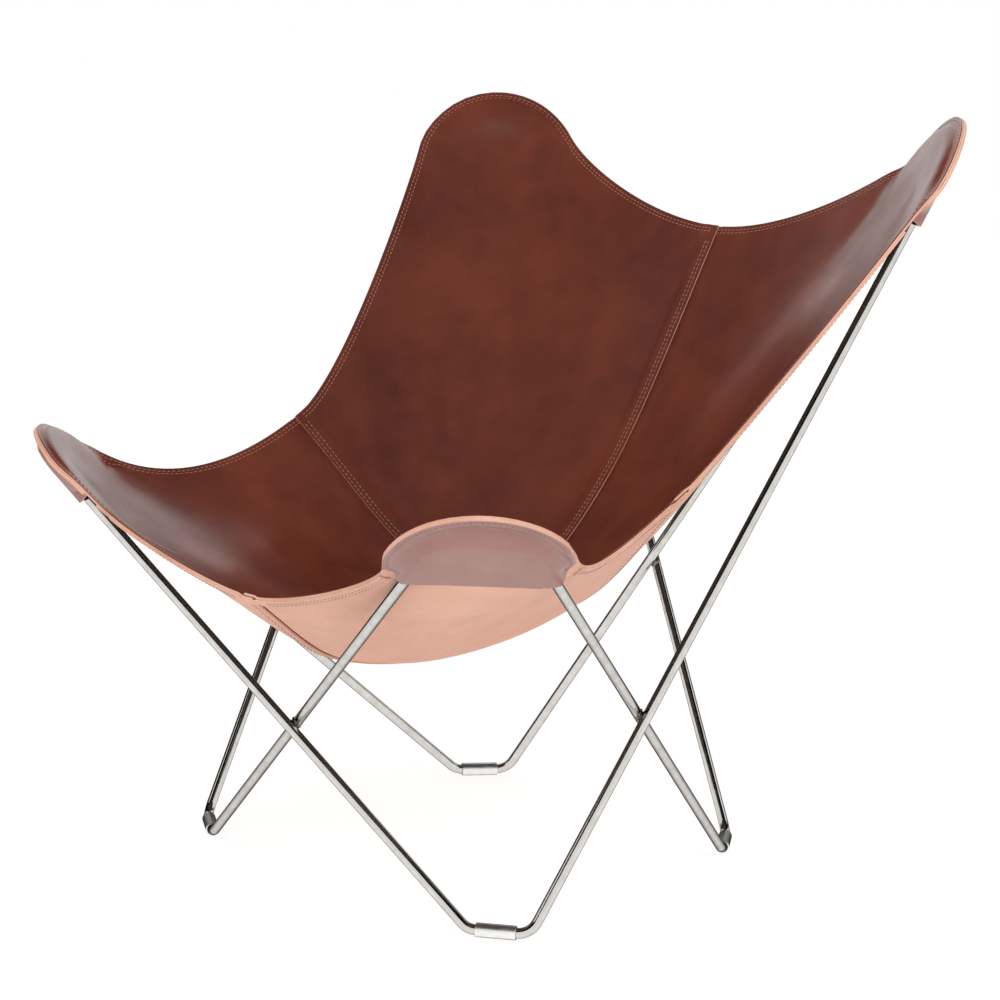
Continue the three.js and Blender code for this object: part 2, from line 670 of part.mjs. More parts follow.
// The two turns at which the edge passes a height on an ear before the tip, and another after it.
function edgeAtHeights(index, heights) {
  const ear = ears[index % ears.length];
  const tip = 2 * index + 1;
  return heights.map((height, side) =>
    findZero((round) => heightOnEar(ear, slingPoint(round, 1)) - height, tip - 1 + side, tip + side));
}

// The place on the sling that lies nearest to a point, found from a place close by.
function nearestPlace(target, startRound, startOut) {
  let [round, out] = [startRound, startOut];
  for (let step = 0; step < 40; step += 1) {
    const point = slingPoint(round, out);
    const miss = target.clone().sub(point);
    const along = slingPoint(round + NUDGE, out).sub(point).divideScalar(NUDGE);
    const outward = slingPoint(round, out + NUDGE).sub(point).divideScalar(NUDGE);
    const mixed = along.dot(outward);
    const spread = along.lengthSq() * outward.lengthSq() - mixed ** 2;
    const turn = (miss.dot(along) * outward.lengthSq() - miss.dot(outward) * mixed) / spread;
    const reach = (miss.dot(outward) * along.lengthSq() - miss.dot(along) * mixed) / spread;
    round += THREE.MathUtils.clamp(turn, -0.2, 0.2);
    out += THREE.MathUtils.clamp(reach, -0.1, 0.1);
  }
  return [round, out];
}

// Pockets: a sheet sewn flat to the panel along its rim, and from the ends of the rim down to the ends of
// a straight open mouth. Inside this seam it bulges under the ear rod.
function pocketGeometry(ear, index) {
  const [first, last] = edgeAtHeights(index, ear.corners.map((corner) => corner - POCKET_DEPTH));
  const onRim = (across) => slingPoint(THREE.MathUtils.lerp(first, last, across), 1);
  const ends = [onRim(0), onRim(1)].map((point) => acrossEar(ear, point));
  const placeAt = (across, down) => {
    const mouth = earPoint(ear, THREE.MathUtils.lerp(...ends, across), -POCKET_DEPTH);
    return nearestPlace(onRim(across).lerp(mouth, down), 2 * index + 1, 0.9);
  };
  const spaced = (count) => Array.from({ length: count + 1 }, (_, step) => step / count);
  const seam = spaced(8 * POCKET_COLUMNS).map(onRim);
  [0, 1].forEach((end) => spaced(POCKET_COLUMNS).slice(1).forEach((down) =>
    seam.push(slingPoint(...placeAt(end, down)))));
  const grid = spaced(POCKET_COLUMNS).map((across) => spaced(POCKET_ROWS).toReversed().map((down) => {
    const place = down === 0 ? [THREE.MathUtils.lerp(first, last, across), 1] : placeAt(across, down);
    const point = slingPoint(...place);
    const inset = Math.min(...seam.map((sewn) => sewn.distanceTo(point)));
    const fall = THREE.MathUtils.smoothstep(inset, POCKET_RIM, POCKET_RIM + POCKET_SLOPE);
    const normal = slingNormal(...place).lerp(ear.w, fall).normalize();
    const aboveRod = point.clone().sub(ear.middle).dot(ear.w);
    const flat = LEATHER + SEAT_GAP;
    const deep = aboveRod + earSeat + ear.lean;
    return { point: point.addScaledVector(normal, -THREE.MathUtils.lerp(flat, deep, fall)), normal };
  }));
  return thicken(grid, LEATHER);
}

ears.forEach((ear, index) => addPiece(`${ear.name}_pocket`, pocketGeometry(ear, index), pocketLeather));

// Edge bands: a strip sewn under the scalloped edge from one pocket to the next.
function bandGeometry(index) {
  const height = -POCKET_DEPTH - 2 * BAND_WIDTH;
  const [, from] = edgeAtHeights(index, [height, height]);
  const [to] = edgeAtHeights(index + 1, [height, height]);
  const columns = 2 * OCTANT_COLUMNS;
  const drop = LEATHER / 2 + BAND_GAP + BAND_LEATHER / 2;
  const grid = [];
  for (let column = 0; column <= columns; column += 1) {
    const round = THREE.MathUtils.lerp(from, to, column / columns);
    const along = slingPoint(round + NUDGE, 1).sub(slingPoint(round - NUDGE, 1)).normalize();
    const inward = along.cross(slingNormal(round, 1)).multiplyScalar(BAND_WIDTH);
    const places = [nearestPlace(slingPoint(round, 1).add(inward), round, 1), [round, 1]];
    grid.push(places.map((place) => {
      const normal = slingNormal(...place);
      return { point: slingPoint(...place).addScaledVector(normal, -drop), normal };
    }));
  }
  return thicken(grid, BAND_LEATHER);
}

const bandNames = ['left_edge_band', 'front_edge_band', 'right_edge_band', 'back_edge_band'];
bandNames.forEach((name, index) => addPiece(name, bandGeometry(index), bandLeather));

// The origin is on the floor under the middle of the chair.
chair.updateMatrixWorld(true);
const bounds = new THREE.Box3().setFromObject(chair, true);
const centre = bounds.getCenter(new THREE.Vector3());
chair.position.set(-centre.x, -centre.y, -bounds.min.z);

export default chair;
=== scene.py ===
"""Dresses the butterfly sling chair: rods, weld beads, foot sleeves, a sewn sling and a studio.

Metres, +Z up. The chair faces -Y, and left is the sitter's left, which is +X.
"""

from __future__ import annotations

import logging
import math
import sys
from dataclasses import dataclass, field
from enum import Enum

import bmesh
import bpy
import numpy as np
from mathutils import Matrix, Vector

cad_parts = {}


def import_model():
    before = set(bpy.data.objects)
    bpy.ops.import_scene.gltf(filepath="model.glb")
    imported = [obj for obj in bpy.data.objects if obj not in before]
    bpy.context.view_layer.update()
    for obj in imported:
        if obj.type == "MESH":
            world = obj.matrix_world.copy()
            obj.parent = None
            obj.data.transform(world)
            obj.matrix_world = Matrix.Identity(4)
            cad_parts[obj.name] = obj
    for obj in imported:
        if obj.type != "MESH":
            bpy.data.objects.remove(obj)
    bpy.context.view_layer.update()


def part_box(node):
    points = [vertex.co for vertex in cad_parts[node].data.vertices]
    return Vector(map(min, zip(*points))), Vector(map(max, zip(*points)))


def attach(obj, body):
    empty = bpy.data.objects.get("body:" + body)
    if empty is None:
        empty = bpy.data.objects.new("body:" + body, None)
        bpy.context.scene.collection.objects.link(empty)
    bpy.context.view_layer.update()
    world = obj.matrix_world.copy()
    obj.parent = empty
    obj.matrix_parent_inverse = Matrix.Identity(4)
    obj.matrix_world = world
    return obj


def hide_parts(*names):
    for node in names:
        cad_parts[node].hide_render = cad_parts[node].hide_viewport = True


log = logging.getLogger("sling_chair")
Array = np.ndarray
Pair = tuple[float, float]
Colour = tuple[float, float, float, float]
Object = bpy.types.Object
Material = bpy.types.Material
Socket = bpy.types.NodeSocket
Group = bpy.types.ShaderNodeTree
MM = 0.001
TURN = 2.0 * math.pi
UP = np.array([0.0, 0.0, 1.0])
STRETCHES = 8
WHITE = (1.0, 1.0, 1.0, 1.0)


def unit(vectors: Array) -> Array:
    """Vectors scaled to length one along the last axis."""
    return vectors / np.linalg.norm(vectors, axis=-1, keepdims=True)


def smooth(value: Array, low: float, high: float) -> Array:
    """Smooth step: 0 up to low, 1 from high, and 3t^2 - 2t^3 between them."""
    share = np.clip((value - low) / (high - low), 0.0, 1.0)
    return share * share * (3.0 - 2.0 * share)


def fade(value: Array, low: float, high: float) -> Array:
    """Smooth step down: 1 up to low and 0 from high."""
    return 1.0 - smooth(value, low, high)


def turned(vector: Array, axis: Array, angles: Array) -> Array:
    """A vector turned about an axis: v cos a + (axis x v) sin a + axis (axis.v)(1 - cos a)."""
    cosine, sine = np.cos(angles)[:, None], np.sin(angles)[:, None]
    return vector * cosine + np.cross(axis, vector) * sine + axis * (axis @ vector) * (1.0 - cosine)


def toward(turn: float, rise: float) -> Array:
    """A direction from degrees: the turn goes from -Y towards +X, and the rise is above level."""
    around, above = math.radians(turn), math.radians(rise)
    level = math.cos(above)
    return np.array([math.sin(around) * level, -math.cos(around) * level, math.sin(above)])


def lengths(path: Array) -> Array:
    """Length along a path up to each of its points."""
    return np.concatenate([[0.0], np.cumsum(np.linalg.norm(np.diff(path, axis=0), axis=1))])


def resampled(stops: Array, knots: Array, points: Array) -> Array:
    """Points of a path at the given stops, straight between its knots."""
    return np.stack([np.interp(stops, knots, points[:, axis]) for axis in range(3)], axis=-1)


def spokes(count: int, first: Array, second: Array) -> Array:
    """Arms round a circle: first cos a + second sin a, at even steps of a."""
    angle = np.arange(count) * TURN / count
    return np.multiply.outer(np.cos(angle), first) + np.multiply.outer(np.sin(angle), second)


def nearest(across: Array, up: Array, line: Array) -> Array:
    """Distance of places in a plane from the nearest point of a line."""
    square = (across[..., None] - line[:, 0]) ** 2 + (up[..., None] - line[:, 1]) ** 2
    return np.sqrt(square.min(axis=-1))


def grid_quads(columns: int, rows: int, wrap: bool = False) -> Array:
    """Quads of a grid whose points are numbered column by column.

    Args:
        columns: Number of columns of points.
        rows: Number of points in a column.
        wrap: Whether the last column joins the first.

    Returns:
        Corner numbers, four for each quad.
    """
    first = np.arange(columns if wrap else columns - 1)[:, None] * rows
    second = (first + rows) % (columns * rows)
    row = np.arange(rows - 1)[None, :]
    corners = [first + row, second + row, second + row + 1, first + row + 1]
    return np.stack(corners, axis=-1).reshape(-1, 4)


def grid_normals(points: Array) -> Array:
    """Unit normals of a grid of points: the cross product of its differences both ways."""
    return unit(np.cross(np.gradient(points, axis=0), np.gradient(points, axis=1)))


def placed(name: str, data: bpy.types.ID) -> Object:
    """A new object of the scene, made of a mesh, lamp or camera."""
    made = bpy.data.objects.new(name, data)
    bpy.context.scene.collection.objects.link(made)
    return made


def dress(piece: Object, node: str, body: str = "chair") -> None:
    """Hides the imported solid that a piece stands for, and hangs the piece on its body."""
    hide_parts(node)
    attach(piece, body)


@dataclass
class Shell:
    """A closed surface of quads, with a finish slot for each and a map that follows the piece."""

    points: Array
    quads: Array
    slots: Array | None = None
    along: Array | None = None

    def outward(self) -> Array:
        """Quads turned so that the enclosed volume, summed over their triangles, is positive."""
        corner = self.points[self.quads]
        sides = np.cross(corner[:, 1], corner[:, 2]) + np.cross(corner[:, 2], corner[:, 3])
        return self.quads if np.sum(corner[:, 0] * sides) > 0 else self.quads[:, ::-1]

    def piece(self, name: str, finishes: list[Material], crease: float = 35.0) -> Object:
        """Makes the mesh object, with doubles merged at seams and poles.

        Args:
            name: Name of the new object.
            finishes: Materials, in the order that the slots count them.
            crease: Angle in degrees from which an edge stays sharp.

        Returns:
            The object, at the origin.
        """
        mesh = bpy.data.meshes.new(name)
        mesh.from_pydata(self.points.tolist(), [], self.outward().tolist())
        for finish in finishes:
            mesh.materials.append(finish)
        if self.slots is not None:
            mesh.polygons.foreach_set("material_index", self.slots.astype(np.int32))
        if self.along is not None:
            corners = np.empty(len(mesh.loops), np.int32)
            mesh.loops.foreach_get("vertex_index", corners)
            layer = mesh.uv_layers.new(name="along")
            layer.data.foreach_set("uv", self.along[corners].astype(np.float32).ravel())
        work = bmesh.new()
        work.from_mesh(mesh)
        bmesh.ops.remove_doubles(work, verts=work.verts, dist=1e-6)
        work.to_mesh(mesh)
        work.free()
        mesh.polygons.foreach_set("use_smooth", np.ones(len(mesh.polygons), bool))
        mesh.set_sharp_from_angle(angle=math.radians(crease))
        log.info("%s: %d faces", name, len(mesh.polygons))
        return placed(name, mesh)


def carried_ring(
    path: Array, heading: Array, reference: Array, radii: Array, sides: int, marks: Array
) -> Shell:
    """A round profile carried along a path.

    The point at angle a is path + radius (n cos a + b sin a), where n is heading x reference and b
    is heading x n. A radius of 0 at an end closes it.

    Args:
        path: Points of the centre line.
        heading: Directions of the centre line.
        reference: A direction that the path never follows.
        radii: Radius at each point of the path.
        sides: Points round the profile.
        marks: Metres along the map at each point of the path.

    Returns:
        The closed surface, mapped by the marks and the metres round it.
    """
    aside = unit(np.cross(heading, reference))
    points = path + spokes(sides, aside, np.cross(heading, aside)) * radii[:, None]
    around = np.arange(sides) * TURN / sides * radii.max()
    along = np.stack(np.broadcast_arrays(marks, around[:, None]), axis=-1).reshape(-1, 2)
    return Shell(points.reshape(-1, 3), grid_quads(sides, len(path), wrap=True), along=along)


def sheet_shell(middle: Array, thickness: float, bulge: float) -> Shell:
    """A sheet with two faces and a slightly rounded cut edge.

    The faces lie half the thickness to both sides of the middle points. The cut edge runs round the
    grid in rows that stand out by the bulge times the cosine of their place in the thickness.

    Args:
        middle: Grid of points in the middle of the sheet, whose normals face up.
        thickness: Thickness of the sheet.
        bulge: How far the cut edge stands out in its middle.

    Returns:
        The closed surface: slot 0 on the upper face and its arris, 1 below and 2 on the cut edge.
    """
    columns, rows = middle.shape[:2]
    count = columns * rows
    number = np.arange(count).reshape(columns, rows)
    ring = np.concatenate([number[:-1, 0], number[-1, :-1], number[:0:-1, -1], number[0, :0:-1]])
    place, face = middle.reshape(-1, 3), grid_normals(middle).reshape(-1, 3)
    run = np.roll(place[ring], -1, axis=0) - np.roll(place[ring], 1, axis=0)
    outward = unit(np.cross(run, face[ring]))
    rim_steps = (0.2, -0.1, -0.35)
    rim = [
        place[ring] + face[ring] * thickness * step + outward * bulge * math.cos(step * math.pi)
        for step in rim_steps
    ]
    points = np.concatenate([place + face * thickness / 2, place - face * thickness / 2, *rim])
    size = len(ring)
    rim_rings = 2 * count + np.arange(len(rim_steps) * size).reshape(-1, size)
    rings = np.stack([ring, *rim_rings, ring + count])
    after = np.roll(rings, -1, axis=1)
    edge = np.stack([rings[:-1], rings[1:], after[1:], after[:-1]], axis=-1).reshape(-1, 4)
    top = grid_quads(columns, rows)
    slots = np.repeat([0, 1, 0, 2], [len(top), len(top), size, len(edge) - size])
    return Shell(points, np.concatenate([top, top[:, ::-1] + count, edge]), slots)


def cut_sheet(
    name: str, middle: Array, up: Array, thickness: float, finishes: list[Material], bulge: float
) -> tuple[Object, float]:
    """Makes a leather piece from the middle of its sheet.

    Args:
        name: Name of the piece.
        middle: Grid of points in the middle of the sheet.
        up: Direction that the upper face looks in on the whole.
        thickness: Thickness of the sheet.
        finishes: Materials of the upper face, the lower face and the cut edge.
        bulge: How far the cut edge stands out in its middle.

    Returns:
        The piece and the area of one of its faces.
    """
    if (grid_normals(middle) @ up).mean() < 0:
        middle = middle[::-1]
    made = sheet_shell(middle, thickness, bulge).piece(name, finishes)
    return made, sum(face.area for face in made.data.polygons) / 2.0


@dataclass
class Leg:
    """A straight leg of a hoop, from its corner at the foot to its corner at the ear."""

    foot: Array
    ear: Array

    def line(self) -> Array:
        """Direction up the leg."""
        return unit(self.ear - self.foot)

    def move(self, step: Array) -> None:
        """Moves both ends."""
        self.foot, self.ear = self.foot + step, self.ear + step


@dataclass
class Crossing:
    """Where two legs touch: the middle, the way from the second rod to the first, and the lines."""

    middle: Array
    across: Array
    half: float
    lines: tuple[Array, Array]


@dataclass
class FootBar:
    """The straight run between the two bends of a foot."""

    middle: Array
    direction: Array


@dataclass
class RodFrame:
    """The two welded loops of bent rod, made of four hoops, with a weld bead at each crossing."""

    rod: float = 12 * MM
    front_foot: tuple[float, ...] = (245 * MM, -217 * MM)
    front_foot_turn: float = 36.0
    rear_foot: tuple[float, ...] = (210 * MM, 221 * MM)
    rear_foot_turn: float = -52.0
    foot_height: float = 8.2 * MM
    foot_bar: float = 69 * MM
    foot_bend: float = 24 * MM
    front_ear: tuple[float, ...] = (358 * MM, -377 * MM, 488 * MM)
    front_ear_turn: float = 43.0
    rear_ear: tuple[float, ...] = (350 * MM, 359 * MM, 848 * MM)
    rear_ear_turn: float = -44.0
    ear_bar: float = 105 * MM
    ear_bend: float = 45 * MM
    loop_step: float = 12.6 * MM
    touch: float = 0.3 * MM
    sides: int = 40
    bend_steps: tuple[int, int] = (14, 28)
    end_ease: float = 0.6 * MM
    bead: float = 7.4 * MM
    bead_gap: float = 0.1 * MM
    bead_waist: float = 0.34
    bead_wrap: float = 0.96
    bead_sides: int = 48
    bead_rows: tuple[int, int] = (25, 13)
    legs: dict[str, Leg] = field(default_factory=dict)
    crossings: dict[str, Crossing] = field(default_factory=dict)
    feet: dict[str, FootBar] = field(default_factory=dict)

    def __post_init__(self) -> None:
        """Lays out the legs, sets the crossing ones apart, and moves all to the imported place."""
        self.add_legs(1, "left", "right")
        self.add_legs(-1, "right", "left")
        self.crossings = {
            "front": self.cross("front_right_crossed", "front_left_crossed"),
            "left": self.cross("rear_left_own", "front_left_own"),
            "right": self.cross("front_right_own", "rear_right_own"),
            "rear": self.cross("rear_left_crossed", "rear_right_crossed"),
        }
        self.shift = self.settle()
        self.feet = {
            "front_left": self.bar("rear_left_own", "front_right_crossed"),
            "rear_right": self.bar("rear_left_crossed", "front_right_own"),
            "front_right": self.bar("rear_right_own", "front_left_crossed"),
            "rear_left": self.bar("rear_right_crossed", "front_left_own"),
        }

    def corner(
        self, side: int, place: tuple[float, ...], turn: float, length: float, end: int
    ) -> Array:
        """One end of a foot bar or ear bar.

        Args:
            side: 1 on the sitter's left, -1 on the right.
            place: Middle of the bar on the left. A foot's height is the sleeve's.
            turn: Direction of the bar from +X, in degrees.
            length: Length between the corners.
            end: 1 or -1 for the end along or against the direction.

        Returns:
            The corner point.
        """
        x, y, z = (*place, self.foot_height)[:3]
        angle = math.radians(turn)
        run = np.array([side * math.cos(angle), math.sin(angle), 0.0])
        return np.array([side * x, y, z]) + run * length * end / 2.0

    def add_legs(self, side: int, name: str, far: str) -> None:
        """Adds the legs of the loop with one side's rear ear and the other side's front ear."""
        shift = np.array([1.0, -1.0, 0.0]) * side * self.loop_step / 2.0
        near_foot = (side, self.front_foot, self.front_foot_turn, self.foot_bar)
        far_foot = (-side, self.rear_foot, self.rear_foot_turn, self.foot_bar)
        rear_ear = (side, self.rear_ear, self.rear_ear_turn, self.ear_bar)
        front_ear = (-side, self.front_ear, self.front_ear_turn, self.ear_bar)
        runs = {
            f"rear_{name}_own": (near_foot, rear_ear, 1),
            f"rear_{name}_crossed": (far_foot, rear_ear, -1),
            f"front_{far}_own": (far_foot, front_ear, 1),
            f"front_{far}_crossed": (near_foot, front_ear, -1),
        }
        for leg, (foot, ear, end) in runs.items():
            self.legs[leg] = Leg(self.corner(*foot, end) + shift, self.corner(*ear, end) + shift)

    def cross(self, first: str, second: str) -> Crossing:
        """Moves two crossing legs level, each by half, until their rods clear by the touch gap."""
        one, two = self.legs[first], self.legs[second]
        across = unit(np.cross(one.line(), two.line()))
        step = one.foot - two.foot
        across = across * np.sign(step @ across)
        half = (self.rod + self.touch) / 2.0
        push = across * [1.0, 1.0, 0.0]
        push = push * (half - step @ across / 2.0) / (push @ push)
        one.move(push)
        two.move(-push)
        along = np.cross(two.line(), across)
        reach = (two.foot - one.foot) @ along / (one.line() @ along)
        middle = one.foot + one.line() * reach - across * half
        return Crossing(middle, across, half, (one.line(), two.line()))

    def settle(self) -> Array:
        """Moves legs and crossings so that the front left foot lies in its packed sleeve."""
        low, high = (np.array(corner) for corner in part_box("front_left_foot_sleeve"))
        here = self.bar("rear_left_own", "front_right_crossed").middle
        shift = ((low + high) / 2.0 - here) * [1.0, 1.0, 0.0]
        for leg in self.legs.values():
            leg.move(shift)
        for crossing in self.crossings.values():
            crossing.middle = crossing.middle + shift
        return shift

    def bend_reach(self, before: Array, after: Array, radius: float) -> float:
        """Distance from a corner to its bend: the radius times the tangent of half the turn."""
        turn = math.acos(float(np.clip(unit(before) @ unit(after), -1.0, 1.0)))
        return radius * math.tan(turn / 2.0)

    def bar(self, first: str, second: str) -> FootBar:
        """The straight run of the foot bar that two legs share."""
        one, two = self.legs[first], self.legs[second]
        direction = unit(two.foot - one.foot)
        start = one.foot + direction * self.bend_reach(-one.line(), direction, self.foot_bend)
        end = two.foot - direction * self.bend_reach(direction, two.line(), self.foot_bend)
        return FootBar((start + end) / 2.0, direction)

    def centre_line(self, name: str, own_foot: str, crossed_foot: str) -> tuple[Array, Array]:
        """The centre line of a hoop: half a foot bar, a leg, the ear bar, a leg, half a foot bar.

        Straight runs are joined by arcs: each turns the arm from its centre about the bend's axis.

        Args:
            name: Name of the hoop.
            own_foot: Name of the foot of its own leg.
            crossed_foot: Name of the foot of its crossed leg.

        Returns:
            Points and directions along the rod.
        """
        one, two = self.legs[f"{name}_own"], self.legs[f"{name}_crossed"]
        ends = []
        for leg, foot in ((one, self.feet[own_foot]), (two, self.feet[crossed_foot])):
            side = np.sign((leg.foot - foot.middle) @ foot.direction)
            ends.append(foot.middle + foot.direction * side * self.touch / 2.0)
        corners = np.array([ends[0], one.foot, one.ear, two.ear, two.foot, ends[1]])
        heads = unit(np.diff(corners, axis=0))
        points, heading = [corners[:1]], [heads[:1]]
        foot, ear = zip((self.foot_bend, self.ear_bend), self.bend_steps)
        for corner, (radius, steps) in enumerate((foot, ear, ear, foot), start=1):
            before, after = heads[corner - 1], heads[corner]
            axis = unit(np.cross(before, after))
            start = corners[corner] - before * self.bend_reach(before, after, radius)
            centre = start + np.cross(axis, before) * radius
            angles = np.linspace(0.0, math.acos(float(before @ after)), steps)
            points.append(centre + turned(start - centre, axis, angles))
            heading.append(turned(before, axis, angles))
        return np.concatenate([*points, corners[-1:]]), np.concatenate([*heading, heads[-1:]])

    def hoops(self) -> dict[str, tuple[Array, Array]]:
        """Centre lines of the four hoops by name."""
        feet = {
            "rear_left": ("front_left", "rear_right"),
            "rear_right": ("front_right", "rear_left"),
            "front_left": ("rear_left", "front_right"),
            "front_right": ("rear_right", "front_left"),
        }
        return {name: self.centre_line(name, *pair) for name, pair in feet.items()}

    def build_rods(self, finish: Material) -> None:
        """Bends the hoops: a circle carried along each centre line, with closed and eased ends."""
        for name, (path, heading) in self.hoops().items():
            picked = np.concatenate([[0, 0], np.arange(len(path)), [-1, -1]])
            line, heads = path[picked], heading[picked]
            line[2] += heads[0] * self.end_ease
            line[-3] -= heads[-1] * self.end_ease
            radii = np.full(len(line), self.rod / 2.0)
            radii[[0, -1]] = 0.0
            radii[[1, -2]] -= self.end_ease
            plane = unit(np.cross(path[len(path) // 2] - path[0], path[-1] - path[0]))
            rod = carried_ring(line, heads, plane, radii, self.sides, lengths(line))
            dress(rod.piece(f"{name}_rod", [finish]), f"{name}_hoop")

    def build_welds(self, finish: Material) -> None:
        """Lays the weld beads: a waisted collar at the touching point that spreads on to both rods.

        At angle a about the line across, the profile runs out on the second rod's face, up the
        collar and back on the first rod's face. A rod's face lies at half - sqrt(r^2 - s^2), where
        s is the distance from the rod's middle plane.
        """
        (rim, neck), radius = self.bead_rows, self.rod / 2.0
        out = np.linspace(0.0, 1.0, rim)[1:]
        waist = 1.0 - self.bead_waist * np.sin(np.linspace(0.0, np.pi, neck))[1:-1]
        scale = np.concatenate([[0.0], out, waist, out[::-1], [0.0]])
        share = np.concatenate([np.zeros(rim), np.linspace(0.0, 1.0, neck)[1:-1], np.ones(rim)])
        quads = grid_quads(self.bead_sides, len(scale), wrap=True)
        for name, spot in self.crossings.items():
            base = unit(spot.lines[0] - spot.across * (spot.lines[0] @ spot.across))
            spoke = spokes(self.bead_sides, base, np.cross(spot.across, base))
            heights = []
            for line, sign in ((spot.lines[1], -1.0), (spot.lines[0], 1.0)):
                reach = np.linalg.norm(np.cross(spoke, line), axis=1)[:, None]
                aside = np.clip(scale * self.bead * reach, 0.0, radius * self.bead_wrap)
                heights.append(sign * (spot.half - np.sqrt(radius**2 - aside**2) + self.bead_gap))
            lift = heights[0] * (1.0 - share) + heights[1] * share
            arm = spoke[:, None, :] * (scale * self.bead)[None, :, None]
            points = spot.middle + arm + spot.across * lift[..., None]
            shell = Shell(points.reshape(-1, 3), quads)
            bead = shell.piece(f"{name}_weld_bead", [finish], crease=60.0)
            dress(bead, f"{name}_crossing_weld")


@dataclass
class FootSleeves:
    """The loose grey tubes round the foot bars."""

    length: float = 46 * MM
    bore: float = 13.4 * MM
    wall: float = 1.5 * MM
    ease: float = 0.5 * MM
    sides: int = 64

    def build(self, frame: RodFrame, finish: Material) -> None:
        """Carries a wall profile with eased corners along each foot bar and back in its bore."""
        half, inner, ease = self.length / 2.0, self.bore / 2.0, self.ease
        outer = inner + self.wall
        profile = [
            (-half, inner + ease), (-half, outer - ease), (ease - half, outer),
            (half - ease, outer), (half, outer - ease), (half, inner + ease),
            (half, inner), (-half, inner), (-half, inner + ease),
        ]
        reach, radii = np.array(profile).T
        for name, foot in frame.feet.items():
            path = foot.middle + foot.direction * reach[:, None]
            heading = np.broadcast_to(foot.direction, path.shape)
            tube = carried_ring(path, heading, -UP, radii, self.sides, reach)
            sleeve = tube.piece(f"{name}_sleeve_tube", [finish])
            dress(sleeve, f"{name}_foot_sleeve", f"{name}_sleeve")


@dataclass
class Ear:
    """A rod ear and the sling's end on it: u along the bar, v up the ear, w out to the sitter."""

    name: str
    middle: Array
    u: Array
    v: Array
    w: Array
    spread: float
    lean: float
    reach: float
    aside: float
    sweeps: Pair
    pulls: Pair
    room: float = 0.0

    def flat(self, place: Array) -> tuple[Array, Array, Array]:
        """Places of points along u, v and w from the middle of the ear bar."""
        arm = place - self.middle
        return arm @ self.u, arm @ self.v, arm @ self.w

    def at(self, across: Array, height: Array, out: Array | float) -> Array:
        """Points from their places along u, v and w."""
        parts = zip(np.broadcast_arrays(across, height, out), (self.u, self.v, self.w))
        return self.middle + sum(part[..., None] * axis for part, axis in parts)


@dataclass
class Notch:
    """A dip of the edge between two ears, with the edge's direction and its pulls on both sides."""

    point: Array
    heading: Array
    pulls: Pair


class Lap(Enum):
    """How a panel lies at a seam."""

    OVER = 1
    UNDER = -1


